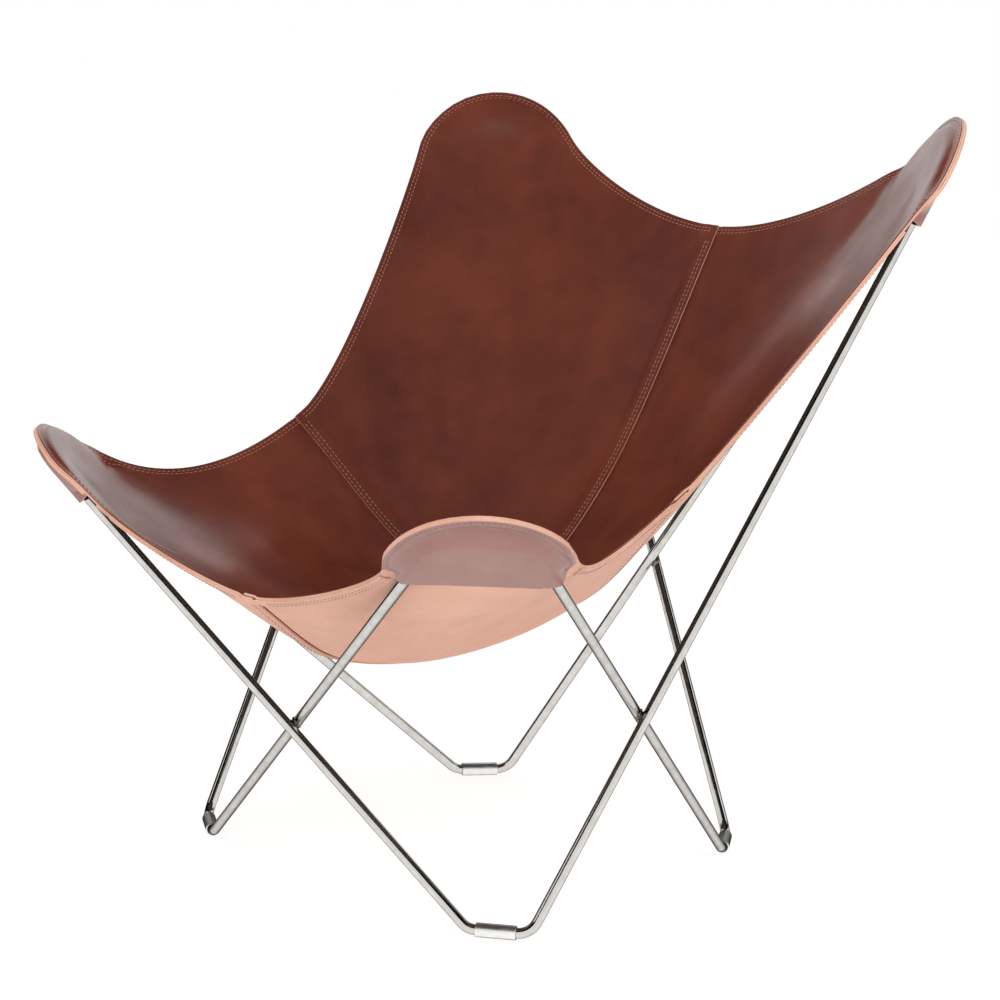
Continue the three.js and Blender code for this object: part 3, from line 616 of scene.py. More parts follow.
@dataclass
class SlingForm:
    """The sling's shape: its scalloped edge, the thin plate that it hangs in, and its laps."""

    frame: RodFrame
    leather: float = 3.5 * MM
    seat_gap: float = 0.45 * MM
    ear_radius: float = 105 * MM
    pocket_depth: float = 70 * MM
    end_corner: float = 9 * MM
    side_corner: float = 30 * MM
    ear_fade: float = 24 * MM
    side_fade: float = 9 * MM
    edge_share: float = 0.8
    lap: float = 15 * MM
    lap_fade: float = 10 * MM
    lap_gap: float = 0.08 * MM
    pinch: float = 6.4 * MM
    pinch_room: float = 0.5
    pinch_fade: Pair = (-0.8, -0.1)
    crease: Pair = (7 * MM, 21 * MM)
    crease_room: float = 0.3
    sag: float = 5.5 * MM
    sag_fade: Pair = (5 * MM, 45 * MM)
    notch_slope: float = 28.0
    slope_step: float = 0.2 * MM
    turn_step: float = 2e-3
    arc_points: int = 121
    curve_points: int = 241
    held_edge: int = 64
    rim_points: int = 3200
    turn_points: int = 2001
    seat: tuple[float, float, float] = (0.0, 59 * MM, 309 * MM)
    middle_points: tuple[Pair, ...] = ((-130, 256), (230, 468), (-270, 287))
    side_points: tuple[tuple[float, float, float], ...] = (
        (160, 0, 341), (260, 80, 487), (180, -180, 352), (170, 220, 522))

    def __post_init__(self) -> None:
        """Works out the ears, the edge and the plate."""
        self.ear_seat = self.frame.rod / 2.0 + self.seat_gap + self.leather / 2.0
        self.ears = [
            self.ear("rear_left", "crossed", "own", 62, 9, (72, 88), (18, 20)),
            self.ear("front_left", "own", "crossed", 52, 0, (55, 96), (36, 36)),
            self.ear("front_right", "crossed", "own", 24, -2, (100, 57), (40, 36)),
            self.ear("rear_right", "own", "crossed", 28, 0, (80, 66), (36, 36)),
        ]
        self.centre = np.array(self.seat) + self.frame.shift
        self.lay_edge()
        self.hang_plate()
        under, over = Lap.UNDER, Lap.OVER
        self.laps = ((under, over), (under, over), (under, under), (over, over))

    def ear(
        self, name: str, first: str, last: str, reach: float, aside: float, sweeps: Pair,
        pulls: Pair,
    ) -> Ear:
        """The frame of an ear and the sling's round end on it.

        Args:
            name: Name of the hoop.
            first: The leg that the edge passes first.
            last: The leg that it passes last.
            reach: How far the leather's tip stands above the ear bar, in mm.
            aside: How far its middle lies from the bar's middle, in mm.
            sweeps: Degrees of the round end before and after the tip.
            pulls: Arms of the edge's curve before and after the round end, in mm.

        Returns:
            The ear.
        """
        one, two = self.frame.legs[f"{name}_{first}"], self.frame.legs[f"{name}_{last}"]
        middle = (one.ear + two.ear) / 2.0
        u = unit(two.ear - one.ear)
        v = middle - (one.foot + two.foot) / 2.0
        v = unit(v - u * (v @ u))
        w = np.cross(u, v)
        falls = [leg.foot - leg.ear for leg in (one, two)]
        spread, lean = (max(abs(fall @ axis / (fall @ v)) for fall in falls) for axis in (u, w))
        lean = lean * self.pocket_depth
        turns, arms = tuple(np.radians(sweeps)), tuple(np.array(pulls) * MM)
        made = Ear(name, middle, u, v, w, spread, lean, reach * MM, aside * MM, turns, arms)
        across, up, _ = made.flat(self.frame.hoops()[name][0])
        inset = self.ear_inset(made, across, up)[up > -self.pocket_depth]
        made.room = float(inset.min()) - self.frame.rod / 2.0
        return made

    def ear_inset(self, ear: Ear, across: Array, up: Array) -> Array:
        """Distance of places in an ear's plane from its round end."""
        return self.ear_radius - np.hypot(across - ear.aside, up - ear.reach + self.ear_radius)

    def in_ear(self, ear: Ear, x: Array, y: Array) -> tuple[Array, Array, Array]:
        """Where places in plan meet the leather's plane on an ear: along u, along v, and height."""
        base = ear.middle + ear.w * self.ear_seat
        plane = base[2] - ((x - base[0]) * ear.w[0] + (y - base[1]) * ear.w[1]) / ear.w[2]
        across, up, _ = ear.flat(np.stack([x, y, plane], axis=-1))
        return across, up, plane

    def half_width(self, ear: Ear, up: Array, depth: float) -> Array:
        """Half the distance between an ear's rods, which spread from the bar down to a depth."""
        return self.frame.ear_bar / 2.0 + ear.spread * np.clip(-up, 0.0, depth)

    def notches(self) -> list[Notch]:
        """The dips behind, left, in front and right, in the order of the edge."""
        slope = math.radians(self.notch_slope)
        fall = np.array([0.0, -math.cos(slope), -math.sin(slope)])
        ahead = np.array([1.0, 0.0, 0.0])
        dips = (
            ((0, 393, 734), ahead, (120, 120)),
            ((315, -21, 489), fall, (90, 220)),
            ((0, -381, 368), -ahead, (68, 68)),
            ((-315, -21, 489), -fall, (220, 90)),
        )
        return [
            Notch(np.array(place) * MM + self.frame.shift, heading, (before * MM, after * MM))
            for place, heading, (before, after) in dips
        ]

    def ear_arc(self, ear: Ear, start: float, stop: float) -> Array:
        """The sling's round end: a circle in the ear's plane, its top the reach above the bar."""
        angles, radius = np.linspace(start, stop, self.arc_points), self.ear_radius
        across = ear.aside + radius * np.sin(angles)
        return ear.at(across, ear.reach - radius + radius * np.cos(angles), self.ear_seat)

    def scallop(self, start: Array, leave: Array, end: Array, arrive: Array) -> Array:
        """A cubic curve from start to end that leaves and arrives along the given arms."""
        t = np.linspace(0.0, 1.0, self.curve_points)[:, None]
        s = 1 - t
        near, far = start + leave, end - arrive
        return s**3 * start + 3 * s**2 * t * near + 3 * s * t**2 * far + t**3 * end

    def lay_edge(self) -> None:
        """Joins the edge's eight stretches: from a notch to an ear's tip, and on to the next."""
        notches, knots, points = self.notches(), [], []
        for index, ear in enumerate(self.ears):
            before, after = notches[index], notches[(index + 1) % 4]
            rise = self.ear_arc(ear, -ear.sweeps[0], 0.0)
            fall = self.ear_arc(ear, 0.0, ear.sweeps[1])
            climb = unit(rise[1] - rise[0]) * ear.pulls[0]
            leave = unit(fall[-1] - fall[-2]) * ear.pulls[1]
            up = self.scallop(before.point, before.heading * before.pulls[1], rise[0], climb)
            down = self.scallop(fall[-1], leave, after.point, after.heading * after.pulls[0])
            for part, pieces in enumerate(((up, rise[1:]), (fall, down[1:]))):
                run = np.concatenate(pieces)
                reach = lengths(run)
                knots.append(2 * index + part + reach / reach[-1])
                points.append(run)
        self.edge_knots, self.edge_points = np.concatenate(knots), np.concatenate(points)

    def edge(self, turn: Array) -> Array:
        """Points of the edge. turn counts stretches from the back notch, clockwise from above."""
        return resampled(np.mod(turn, STRETCHES), self.edge_knots, self.edge_points)

    def hang_plate(self) -> None:
        """Solves the plate: sum w_i r_i^2 log r_i^2 + a + b x + c y through the held points."""
        held = [self.edge(np.arange(self.held_edge) * STRETCHES / self.held_edge)]
        depth, half = self.pocket_depth, self.frame.ear_bar / 2.0
        down = np.array([0.0, -depth / 2, -depth, -depth - self.ear_fade])
        for ear in self.ears:
            wide = [half, half + ear.spread * depth / 2, half + ear.spread * depth, half]
            across = np.outer([-1.0, 0.0, 1.0], wide)
            held.append(ear.at(across, down[None, :], self.ear_seat).reshape(-1, 3))
        middle = [(0.0, y, z) for y, z in self.middle_points]
        sides = [(turn * x, y, z) for x, y, z in self.side_points for turn in (1, -1)]
        held.append(np.array([self.seat, *np.array(middle + sides) * MM]) + self.frame.shift)
        self.held = np.concatenate(held)
        plan = np.column_stack([np.ones(len(self.held)), self.held[:, :2]])
        bulges = self.bulges(self.held[:, 0], self.held[:, 1])
        matrix = np.block([[bulges, plan], [plan.T, np.zeros((3, 3))]])
        self.weights = np.linalg.solve(matrix, np.concatenate([self.held[:, 2], np.zeros(3)]))
        rim = self.edge(np.linspace(0.0, STRETCHES, self.rim_points, endpoint=False))
        angles, arms = self.polar(rim[:, 0], rim[:, 1])
        errors = rim[:, 2] - self.hung(rim[:, 0], rim[:, 1])
        order = np.argsort(angles)
        self.rim_angles, self.rim_arms, self.rim_errors = angles[order], arms[order], errors[order]

    def bulges(self, x: Array, y: Array) -> Array:
        """r^2 log r^2 from each place in plan to each held point."""
        square = (x[..., None] - self.held[:, 0]) ** 2 + (y[..., None] - self.held[:, 1]) ** 2
        return square * np.log(np.maximum(square, 1e-18))

    def polar(self, x: Array, y: Array) -> tuple[Array, Array]:
        """Angles of places in plan about the seat's centre, from +Y to +X, and their distances."""
        aside, ahead = x - self.centre[0], y - self.centre[1]
        return np.mod(np.arctan2(aside, ahead), TURN), np.hypot(aside, ahead)

    def height(self, x: Array, y: Array) -> Array:
        """Height of the leather's middle: as it hangs, and brought to the edge's height near it."""
        angle, arm = self.polar(x, y)
        rim_arm, error = (
            np.interp(angle, self.rim_angles, table, period=TURN)
            for table in (self.rim_arms, self.rim_errors)
        )
        return self.hung(x, y) + error * smooth(arm / rim_arm, self.edge_share, 1.0)

    def hung(self, x: Array, y: Array) -> Array:
        """Height of the plate, drawn into each ear's plane where it lies on the rod."""
        *weights, base, slope_x, slope_y = self.weights
        found = self.bulges(x, y) @ np.array(weights) + base + slope_x * x + slope_y * y
        depth = self.pocket_depth
        for ear in self.ears:
            across, up, plane = self.in_ear(ear, x, y)
            half = self.half_width(ear, up, depth) + self.frame.rod / 2.0
            share = smooth(up, -depth - self.ear_fade, -depth)
            share = share * fade(np.abs(across), half, half + self.side_fade)
            found = found + (plane - found) * share
        return found

    def facing(self, x: Array, y: Array) -> Array:
        """Unit normals of the sling's middle, from the slopes of its height both ways."""
        step = self.slope_step
        slope_x = (self.height(x + step, y) - self.height(x - step, y)) / (2 * step)
        slope_y = (self.height(x, y + step) - self.height(x, y - step)) / (2 * step)
        return unit(np.stack([-slope_x, -slope_y, np.ones_like(x)], axis=-1))

    def seam_arm(self, seam: int) -> Array:
        """A seam in plan, from the seat's centre to its notch."""
        return (self.edge(np.array(2.0 * seam)) - self.centre)[:2]

    def lift(self, panel: int, x: Array, y: Array) -> Array:
        """How far a panel stands off the plate.

        Half a leather up or down in a lap, pinched down at the ear's rim, and sagging between the
        ear's rods by the square of 1 minus the square of the share of the half width.
        """
        arm = np.stack([x - self.centre[0], y - self.centre[1]], axis=-1)
        near_centre = fade(np.linalg.norm(arm, axis=-1), self.lap, 3 * self.lap)
        total = np.zeros_like(x)
        for end, lap in enumerate(self.laps[panel]):
            ray = unit(self.seam_arm(panel + end))
            distance = arm @ np.array([ray[1], -ray[0]]) * (1 - 2 * end)
            side_seam = (panel + end) % 2
            height = (self.leather / 2 + self.lap_gap) * (1.0 + side_seam * near_centre)
            lapped = fade(distance, self.lap / 2, self.lap / 2 + self.lap_fade)
            total = total + lap.value * height * lapped
        ear, depth = self.ears[panel], self.pocket_depth
        across, up, _ = self.in_ear(ear, x, y)
        start = min(self.crease[0], self.crease_room * ear.room)
        stop = min(self.crease[1], ear.room)
        pinch = min(self.pinch, self.pinch_room * ear.room)
        pinch = pinch * fade(self.ear_inset(ear, across, up), start, stop)
        share = np.clip(1.0 - (across / self.half_width(ear, up, 2 * depth)) ** 2, 0.0, 1.0)
        sag = self.sag * share**2 * smooth(-up, *self.sag_fade) * fade(-up, depth, 2 * depth)
        return total - sag - pinch * smooth(up / depth, *self.pinch_fade)

    def skin(self, panel: int, x: Array, y: Array) -> tuple[Array, Array]:
        """Middle points and normals of a panel at places in plan."""
        normal = self.facing(x, y)
        middle = np.stack([x, y, self.height(x, y)], axis=-1)
        return middle + normal * self.lift(panel, x, y)[..., None], normal

    def inward(self, turn: Array) -> tuple[Array, Array]:
        """Points of the edge, and the directions in the leather at right angles to it."""
        place = self.edge(turn)
        run = unit(self.edge(turn + self.turn_step) - self.edge(turn - self.turn_step))
        return place, unit(np.cross(run, self.facing(place[..., 0], place[..., 1])))

    def corners(self, panel: int) -> Pair:
        """How far above the pocket's mouth its rim ends, before and after the tip."""
        ends = (self.end_corner, self.side_corner)
        return ends if panel % 2 == 0 else ends[::-1]

    def edge_turns(self, panel: int, heights: Pair) -> Pair:
        """Turns at which the edge passes one height before an ear's tip and another after it."""
        turn = np.linspace(2 * panel, 2 * panel + 2, self.turn_points)
        up = self.ears[panel].flat(self.edge(turn))[1]
        first, last = (np.flatnonzero(up >= height) for height in heights)
        return float(turn[first[0]]), float(turn[last[-1]])

    def rim_turns(self, panel: int) -> Pair:
        """Turns at which the rim of a pocket starts and ends."""
        first, last = self.corners(panel)
        return self.edge_turns(panel, (first - self.pocket_depth, last - self.pocket_depth))


@dataclass
class SlingPanels:
    """The four lapped quarters of the sling."""

    form: SlingForm
    columns: int = 110
    rows: int = 84
    crowding: float = 0.72
    row_power: float = 1.5
    row_span: float = 0.985
    lap_limit: float = 0.35
    bulge: float = 0.5 * MM
    flat: tuple[Pair, ...] = ((0.62, 0.66), (0.52, 0.56), (0.52, 0.56), (0.62, 0.66))

    def grid(self, panel: int) -> Array:
        """The middle of a panel on a grid of turn and reach.

        Places in plan run straight from the seat's centre to the edge. The turn goes past each seam
        by half the lap, and the columns lie closer at the seams and the rows closer at the edge.
        """
        form = self.form
        share = np.linspace(0.0, 1.0, self.columns)
        share = share - self.crowding * np.sin(TURN * share) / TURN
        reach = 1.0 - (1.0 - np.linspace(0.0, 1.0, self.rows)) ** self.row_power * self.row_span
        ends = []
        for seam in (panel, panel + 1):
            turn, step = np.array(2.0 * seam), 0.01
            speed = (form.edge(turn + step) - form.edge(turn - step))[:2] / (2 * step)
            ray = unit(form.seam_arm(seam))
            wide = abs(speed[0] * ray[1] - speed[1] * ray[0])
            ends.append(np.minimum(form.lap / 2 / (wide * reach), self.lap_limit))
        start, stop = 2 * panel - ends[0], 2 * panel + 2 + ends[1]
        turn = start[None, :] + (stop - start)[None, :] * share[:, None]
        centre = form.centre[:2]
        plan = centre + (form.edge(turn)[..., :2] - centre) * reach[None, :, None]
        return form.skin(panel, plan[..., 0], plan[..., 1])[0]

    def build(self, finishes: list[Material]) -> None:
        """Cuts the four panels, each a sheet with grain above, suede below and a raw edge."""
        for panel, name in enumerate(ear.name for ear in self.form.ears):
            piece, leather = f"{name}_panel_leather", self.form.leather
            made, area = cut_sheet(piece, self.grid(panel), UP, leather, finishes, self.bulge)
            dress(made, f"{name}_panel")


@dataclass
class EarPockets:
    """The half-round pockets sewn under the corners, which hold the rod ears."""

    form: SlingForm
    rim: float = 4.5 * MM
    rod_edge: float = 5 * MM
    rod_step: float = 1 * MM
    rod_fade: Pair = (8 * MM, 15 * MM)
    rod_side: Pair = (-14 * MM, 4 * MM)
    least_flank: float = 1 * MM
    hollow: float = 1.0 * MM
    hollow_fade: Pair = (3 * MM, 40 * MM)
    clear: float = 0.15 * MM
    columns: int = 120
    rows: int = 56
    row_power: float = 1.25
    corner_power: int = 8
    mouth_share: float = 0.97
    rim_points: int = 600
    bulge: float = 0.5 * MM
    flat: Pair = (0.25, 0.19)

    def grid(self, panel: int, rod: Array) -> Array:
        """The middle of a pocket, on straight lines from its sewn rim to its straight mouth.

        Depth over the ear's plane: the rim lies one leather under the panel. A flank falls from it
        to just under the rod, and the leather rises a little between the rods, so that the rod
        shows as a ridge.

        Args:
            panel: Number of the ear.
            rod: Centre line of the hoop.

        Returns:
            Grid of points, whose normals face the panel.
        """
        form, ear = self.form, self.form.ears[panel]
        depth, first, last = form.pocket_depth, *form.rim_turns(panel)
        rim_u, rim_v, _ = ear.flat(form.edge(np.linspace(first, last, self.columns)))
        share = np.linspace(0.0, 1.0, self.columns)
        row = np.linspace(0.0, 1.0, self.rows) ** self.row_power
        corner = np.where(share < 0.5, *form.corners(panel))
        mouth_u = rim_u[0] + (rim_u[-1] - rim_u[0]) * share
        mouth_v = -depth + corner * np.abs(2 * share - 1) ** self.corner_power
        across = rim_u[:, None] + (mouth_u - rim_u)[:, None] * row
        up = rim_v[:, None] + (mouth_v - rim_v)[:, None] * row
        x, y, z = np.moveaxis(ear.at(across, up, form.ear_seat), -1, 0)
        panel_out = form.ear_seat + (form.height(x, y) - z) * ear.w[2] + form.lift(panel, x, y)
        sewn = np.stack(ear.flat(form.edge(np.linspace(first, last, self.rim_points)))[:2], axis=-1)
        sides = np.stack([mouth_u, mouth_v], axis=-1)[mouth_v > -self.mouth_share * depth]
        inset = nearest(across, up, np.concatenate([sewn, sides]))
        line = np.stack(ear.flat(rod)[:2], axis=-1)
        from_rod = nearest(across, up, line[line[:, 1] > -2 * depth])
        beyond = np.maximum(up, np.abs(across) - form.half_width(ear, up, depth))
        flank = inset + from_rod * smooth(beyond, *self.rod_side) - self.rim - self.rod_edge
        fall = smooth((inset - self.rim) / np.maximum(flank, self.least_flank), 0.0, 1.0)
        fall = np.maximum(fall, fade(from_rod, *self.rod_fade))
        deep = self.hollow * smooth(from_rod, *self.hollow_fade) - form.ear_seat - ear.lean
        out = (panel_out - form.leather - self.clear) * (1.0 - fall) + deep * fall
        return ear.at(across, up, out)

    def build(self, finishes: list[Material]) -> None:
        """Sews on the four pockets, each a sheet with suede inside and grain outside."""
        hoops = self.form.frame.hoops()
        for panel, ear in enumerate(self.form.ears):
            name, (path, _) = ear.name, hoops[ear.name]
            knots = lengths(path)
            rod = resampled(np.arange(0.0, knots[-1], self.rod_step), knots, path)
            piece, leather = f"{name}_pocket_leather", self.form.leather
            middle = self.grid(panel, rod)
            made, area = cut_sheet(piece, middle, ear.w, leather, finishes, self.bulge)
            dress(made, f"{name}_pocket")


@dataclass
class EdgeBands:
    """The narrow strips sewn under the scalloped edge between the pockets."""

    form: SlingForm
    width: float = 12 * MM
    inset: float = 0.4 * MM
    leather: float = 2 * MM
    clear: float = 0.12 * MM
    seam_clear: float = 0.1 * MM
    columns: int = 150
    rows: int = 7
    bulge: float = 0.3 * MM
    blank: float = 0.018
    blank_spare: float = 1.02
    names: tuple[str, ...] = ("left", "front", "right", "back")

    def span(self, index: int) -> Pair:
        """Turns at which a band starts and ends, close to the pockets on both sides."""
        heights = (-self.form.pocket_depth - self.width,) * 2
        first = self.form.edge_turns(index, heights)[1]
        last = self.form.edge_turns((index + 1) % 4, heights)[0]
        return first, last + (STRETCHES if index == 3 else 0)

    def grid(self, index: int) -> Array:
        """The middle of a band: the edge moved in by each row's width and down under the panel."""
        form = self.form
        turn = np.linspace(*self.span(index), self.columns)
        place, inward = form.inward(turn)
        rows = np.linspace(self.inset, self.width, self.rows)
        spot = place[:, None, :] + inward[:, None, :] * rows[None, :, None]
        x, y, before = spot[..., 0], spot[..., 1], turn[:, None] < 2 * index + 2
        sides = (index, (index + 1) % 4)
        (first, normal), (second, _) = (form.skin(panel, x, y) for panel in sides)
        own = np.where(before, *(form.lift(panel, x, y) for panel in sides))
        from_seam = np.linalg.norm(spot - form.edge(np.array(2.0 * index + 2.0)), axis=-1)
        near = fade(from_seam, form.lap / 2, form.lap / 2 + form.lap_fade)
        down = form.leather / 2 + self.leather / 2 + self.clear
        down = down + near * (own + form.leather / 2 + self.seam_clear)
        return np.where(before[..., None], first, second) - normal * down[..., None]

    def build(self, finishes: list[Material]) -> None:
        """Cuts the four bands as thin sheets."""
        for index, name in enumerate(self.names):
            piece, middle = f"{name}_band_leather", self.grid(index)
            made, area = cut_sheet(piece, middle, UP, self.leather, finishes, self.bulge)
            dress(made, f"{name}_edge_band")


@dataclass
class Stitching:
    """Rows of thread along the edges, round the pockets, under the bands and beside the seams."""

    form: SlingForm
    bands: EdgeBands
    pockets: EarPockets
    pitch: float = 6.2 * MM
    length: float = 4.9 * MM
    thread: float = 0.5 * MM
    arch: Pair = (0.45, 1.1)
    flatness: float = 0.8
    rings: int = 7
    sides: int = 6
    edge_rows: Pair = (5.0 * MM, 9.2 * MM)
    seam_rows: Pair = (3.6 * MM, 8.4 * MM)
    seam_start: float = 0.02
    seam_end: float = 11 * MM
    band_gap: float = 0.06
    edge_points: int = 700
    seam_points: int = 500

    def spaced(self, place: Array, normal: Array) -> tuple[Array, Array, Array]:
        """Places, directions and normals of the stitches of a row, one for each pitch along it."""
        reach = lengths(place)
        count = max(int(reach[-1] / self.pitch), 1)
        stops = (np.arange(count) + 0.5) * reach[-1] / count
        lines = (place, np.gradient(place, axis=0), normal)
        spot, run, face = (resampled(stops, reach, line) for line in lines)
        return spot, unit(run), unit(face)

    def sew(self, name: str, rows: list[tuple[Array, Array]], finish: Material) -> None:
        """Makes one piece of the stitches of several rows.

        A stitch is a thread of six sides whose radius closes at both ends as the root of 1 - t^4,
        arched so that its middle stands proud of the leather and its ends go into it.

        Args:
            name: Name of the piece.
            rows: Places on the leather's face and its normals, for each row.
            finish: Material of the thread.
        """
        found = [self.spaced(*row) for row in rows]
        place, run, normal = (np.concatenate(parts) for parts in zip(*found))
        side = unit(np.cross(normal, run))
        axes = np.stack([run, side, np.cross(run, side)], axis=1)
        t = np.linspace(-1.0, 1.0, self.rings)
        angle = np.arange(self.sides)[:, None] * TURN / self.sides
        radius = self.thread * np.sqrt(1.0 - t**4)
        lean = np.cos(angle) * radius
        arch = self.thread * (self.arch[0] - self.arch[1] * t**2)
        rise = np.sin(angle) * radius * self.flatness + arch
        reach = np.broadcast_to(t * self.length / 2.0, lean.shape)
        local = np.stack([reach, lean, rise], axis=-1).reshape(1, -1, 3, 1)
        points = place[:, None, :] + (local * axes[:, None]).sum(axis=2)
        first = np.arange(len(place)) * self.rings * self.sides
        quads = grid_quads(self.sides, self.rings, wrap=True)[None] + first[:, None, None]
        shell = Shell(points.reshape(-1, 3), quads.reshape(-1, 4))
        thread = shell.piece(name, [finish], crease=80.0)
        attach(thread, "chair")

    def edge_row(
        self, panel: int, inset: float, span: Pair, drop: float, face: int
    ) -> tuple[Array, Array]:
        """A row beside the edge, on the upper (1) or the lower face (-1) of what is sewn there."""
        place, inward = self.form.inward(np.linspace(*span, self.edge_points))
        spot = place + inward * inset
        point, normal = self.form.skin(panel, spot[:, 0], spot[:, 1])
        return point + normal * drop * face, normal * face

    def seam_row(self, seam: int, inset: float, face: int) -> tuple[Array, Array]:
        """A row beside a seam's raw edge, on the upper panel (1) or under the lower panel (-1)."""
        form = self.form
        panels = ((seam - 1) % 4, seam % 4)
        over = 0 if form.laps[panels[0]][1] is Lap.OVER else 1
        arm = form.seam_arm(seam)
        ray, reach = unit(arm), np.linalg.norm(arm)
        toward_over = np.array([-ray[1], ray[0]]) * (1 - 2 * over)
        stop = 1.0 - self.seam_end / reach
        share = np.linspace(self.seam_start, stop, self.seam_points)[:, None]
        plan = form.centre[:2] + share * reach * ray + toward_over * (inset - form.lap / 2)
        panel = panels[over if face > 0 else 1 - over]
        point, normal = form.skin(panel, plan[:, 0], plan[:, 1])
        return point + normal * form.leather / 2 * face, normal * face

    def build(self, grain_thread: Material, under_thread: Material) -> None:
        """Sews all rows: one piece above and one below for each panel and seam, one for a band."""
        form, half = self.form, self.form.leather / 2
        for panel, name in enumerate(ear.name for ear in form.ears):
            whole = (2.0 * panel, 2.0 * panel + 2.0)
            rows = [self.edge_row(panel, inset, whole, half, 1) for inset in self.edge_rows]
            self.sew(f"{name}_edge_stitches", rows, grain_thread)
            drop = form.leather * 1.5 + self.pockets.clear
            row = self.edge_row(panel, self.edge_rows[0], form.rim_turns(panel), drop, -1)
            self.sew(f"{name}_pocket_stitches", [row], under_thread)
        looks = (("seam", 1, grain_thread), ("seam_under", -1, under_thread))
        for seam, name in enumerate(("back", "left", "front", "right")):
            for kind, face, thread in looks:
                rows = [self.seam_row(seam, inset, face) for inset in self.seam_rows]
                self.sew(f"{name}_{kind}_stitches", rows, thread)
        drop = half + self.bands.leather + self.bands.clear
        for index, name in enumerate(self.bands.names):
            first, last = self.bands.span(index)
            middle, gap = 2.0 * index + 2.0, self.band_gap
            spans = ((index, (first, middle - gap)), ((index + 1) % 4, (middle + gap, last)))
            rows = [
                self.edge_row(panel, inset, span, drop, -1)
                for inset in self.edge_rows
                for panel, span in spans
            ]
            self.sew(f"{name}_band_stitches", rows, under_thread)


class Nodes:
    """Places and joins the nodes of a material, a group or the world."""

    def __init__(self, tree: bpy.types.NodeTree) -> None:
        """Takes a node tree and empties it."""
        self.tree = tree
        tree.nodes.clear()

    def add(self, kind: str, inputs: dict | None = None, **settings: object) -> bpy.types.Node:
        """Adds a node, sets its settings, and feeds its inputs with values or other sockets."""
        node = self.tree.nodes.new(f"ShaderNode{kind}")
        for key, value in settings.items():
            setattr(node, key, value)
        for key, value in (inputs or {}).items():
            if isinstance(value, Socket):
                self.tree.links.new(value, node.inputs[key])
            else:
                node.inputs[key].default_value = value
        return node

    def noise(self, vector: Socket, scale: float, detail: float, rough: float) -> Socket:
        """A noise value from 0 to 1 at a scale."""
        inputs = {"Vector": vector, "Scale": scale, "Detail": detail, "Roughness": rough}
        return self.add("TexNoise", inputs).outputs["Fac"]

    def mapped(self, vector: Socket, scale: tuple[float, ...], turn: tuple[float, ...]) -> Socket:
        """A vector turned and scaled."""
        return self.add("Mapping", {"Vector": vector, "Scale": scale, "Rotation": turn}).outputs[0]

    def spread(self, value: Socket, low: float, high: float, start: float, stop: float) -> Socket:
        """A value carried from one range to another and held there."""
        ends = {"From Min": low, "From Max": high, "To Min": start, "To Max": stop}
        return self.add("MapRange", {"Value": value, **ends}).outputs["Result"]

    def share(self, value: Socket, low: float, high: float) -> Socket:
        """A value's place in a range, from 0 to 1."""
        return self.spread(value, low, high, 0.0, 1.0)

    def math(self, operation: str, first: object, second: object) -> Socket:
        """The result of an operation on two values."""
        return self.add("Math", {0: first, 1: second}, operation=operation).outputs[0]

    def scaled(self, value: Socket, factor: float) -> Socket:
        """A value times a factor."""
        return self.math("MULTIPLY", value, factor)

    def mix(self, share: object, first: object, second: object) -> Socket:
        """Two colours mixed by a share."""
        return self.add("Mix", {0: share, 6: first, 7: second}, data_type="RGBA").outputs[2]

    def surface(self, height: Socket, depth: float, strength: float, inputs: dict) -> None:
        """Ends a material in a Principled shader whose normal follows a height."""
        relief = {"Height": height, "Distance": depth, "Strength": strength}
        normal = self.add("Bump", relief).outputs[0]
        shader = self.add("BsdfPrincipled", {**inputs, "Normal": normal})
        self.add("OutputMaterial", {"Surface": shader.outputs[0]})


class Effect:
    """A shader node group that several finishes share."""

    def __init__(self, name: str) -> None:
        """Opens the group with a Vector input."""
        self.group = bpy.data.node_groups.new(name, "ShaderNodeTree")
        self.socket("Vector", "INPUT", "NodeSocketVector")
        self.nodes = Nodes(self.group)
        self.vector = self.group.nodes.new("NodeGroupInput").outputs["Vector"]

    def socket(self, name: str, side: str, kind: str) -> None:
        """Adds an input or output to the group."""
        self.group.interface.new_socket(name, in_out=side, socket_type=kind)

    def put_out(self, **values: Socket) -> Group:
        """Gives the group an output for each value and returns the group."""
        for name in values:
            self.socket(name, "OUTPUT", "NodeSocketFloat")
        end = self.group.nodes.new("NodeGroupOutput")
        for name, value in values.items():
            self.group.links.new(value, end.inputs[name])
        return self.group


def grain_effect() -> Group:
    """Grain side of the hide: dye mottling, pebbled grain on soft waves, and pale scuffs."""
    effect = Effect("hide_grain")
    nodes, vector = effect.nodes, effect.vector
    clouds = nodes.scaled(nodes.noise(vector, 7.0, 5.0, 0.6), 0.65)
    patches = nodes.scaled(nodes.noise(vector, 26.0, 4.0, 0.6), 0.35)
    cell_inputs = {"Vector": vector, "Scale": 620.0, "Randomness": 1.0}
    cells = nodes.add("TexVoronoi", cell_inputs, feature="SMOOTH_F1").outputs["Distance"]
    fine = nodes.scaled(nodes.noise(vector, 900.0, 3.0, 0.6), 0.5)
    pebble = nodes.math("ADD", nodes.scaled(cells, 0.7), fine)
    waves = nodes.scaled(nodes.noise(vector, 24.0, 2.0, 0.5), 9.0)
    long = nodes.mapped(vector, (9.0, 60.0, 24.0), (0.4, 0.7, 0.9))
    return effect.put_out(
        Mottle=nodes.math("ADD", clouds, patches),
        Pebble=nodes.math("ADD", pebble, waves),
        Scuff=nodes.share(nodes.noise(long, 3.0, 6.0, 0.7), 0.62, 0.8),
    )


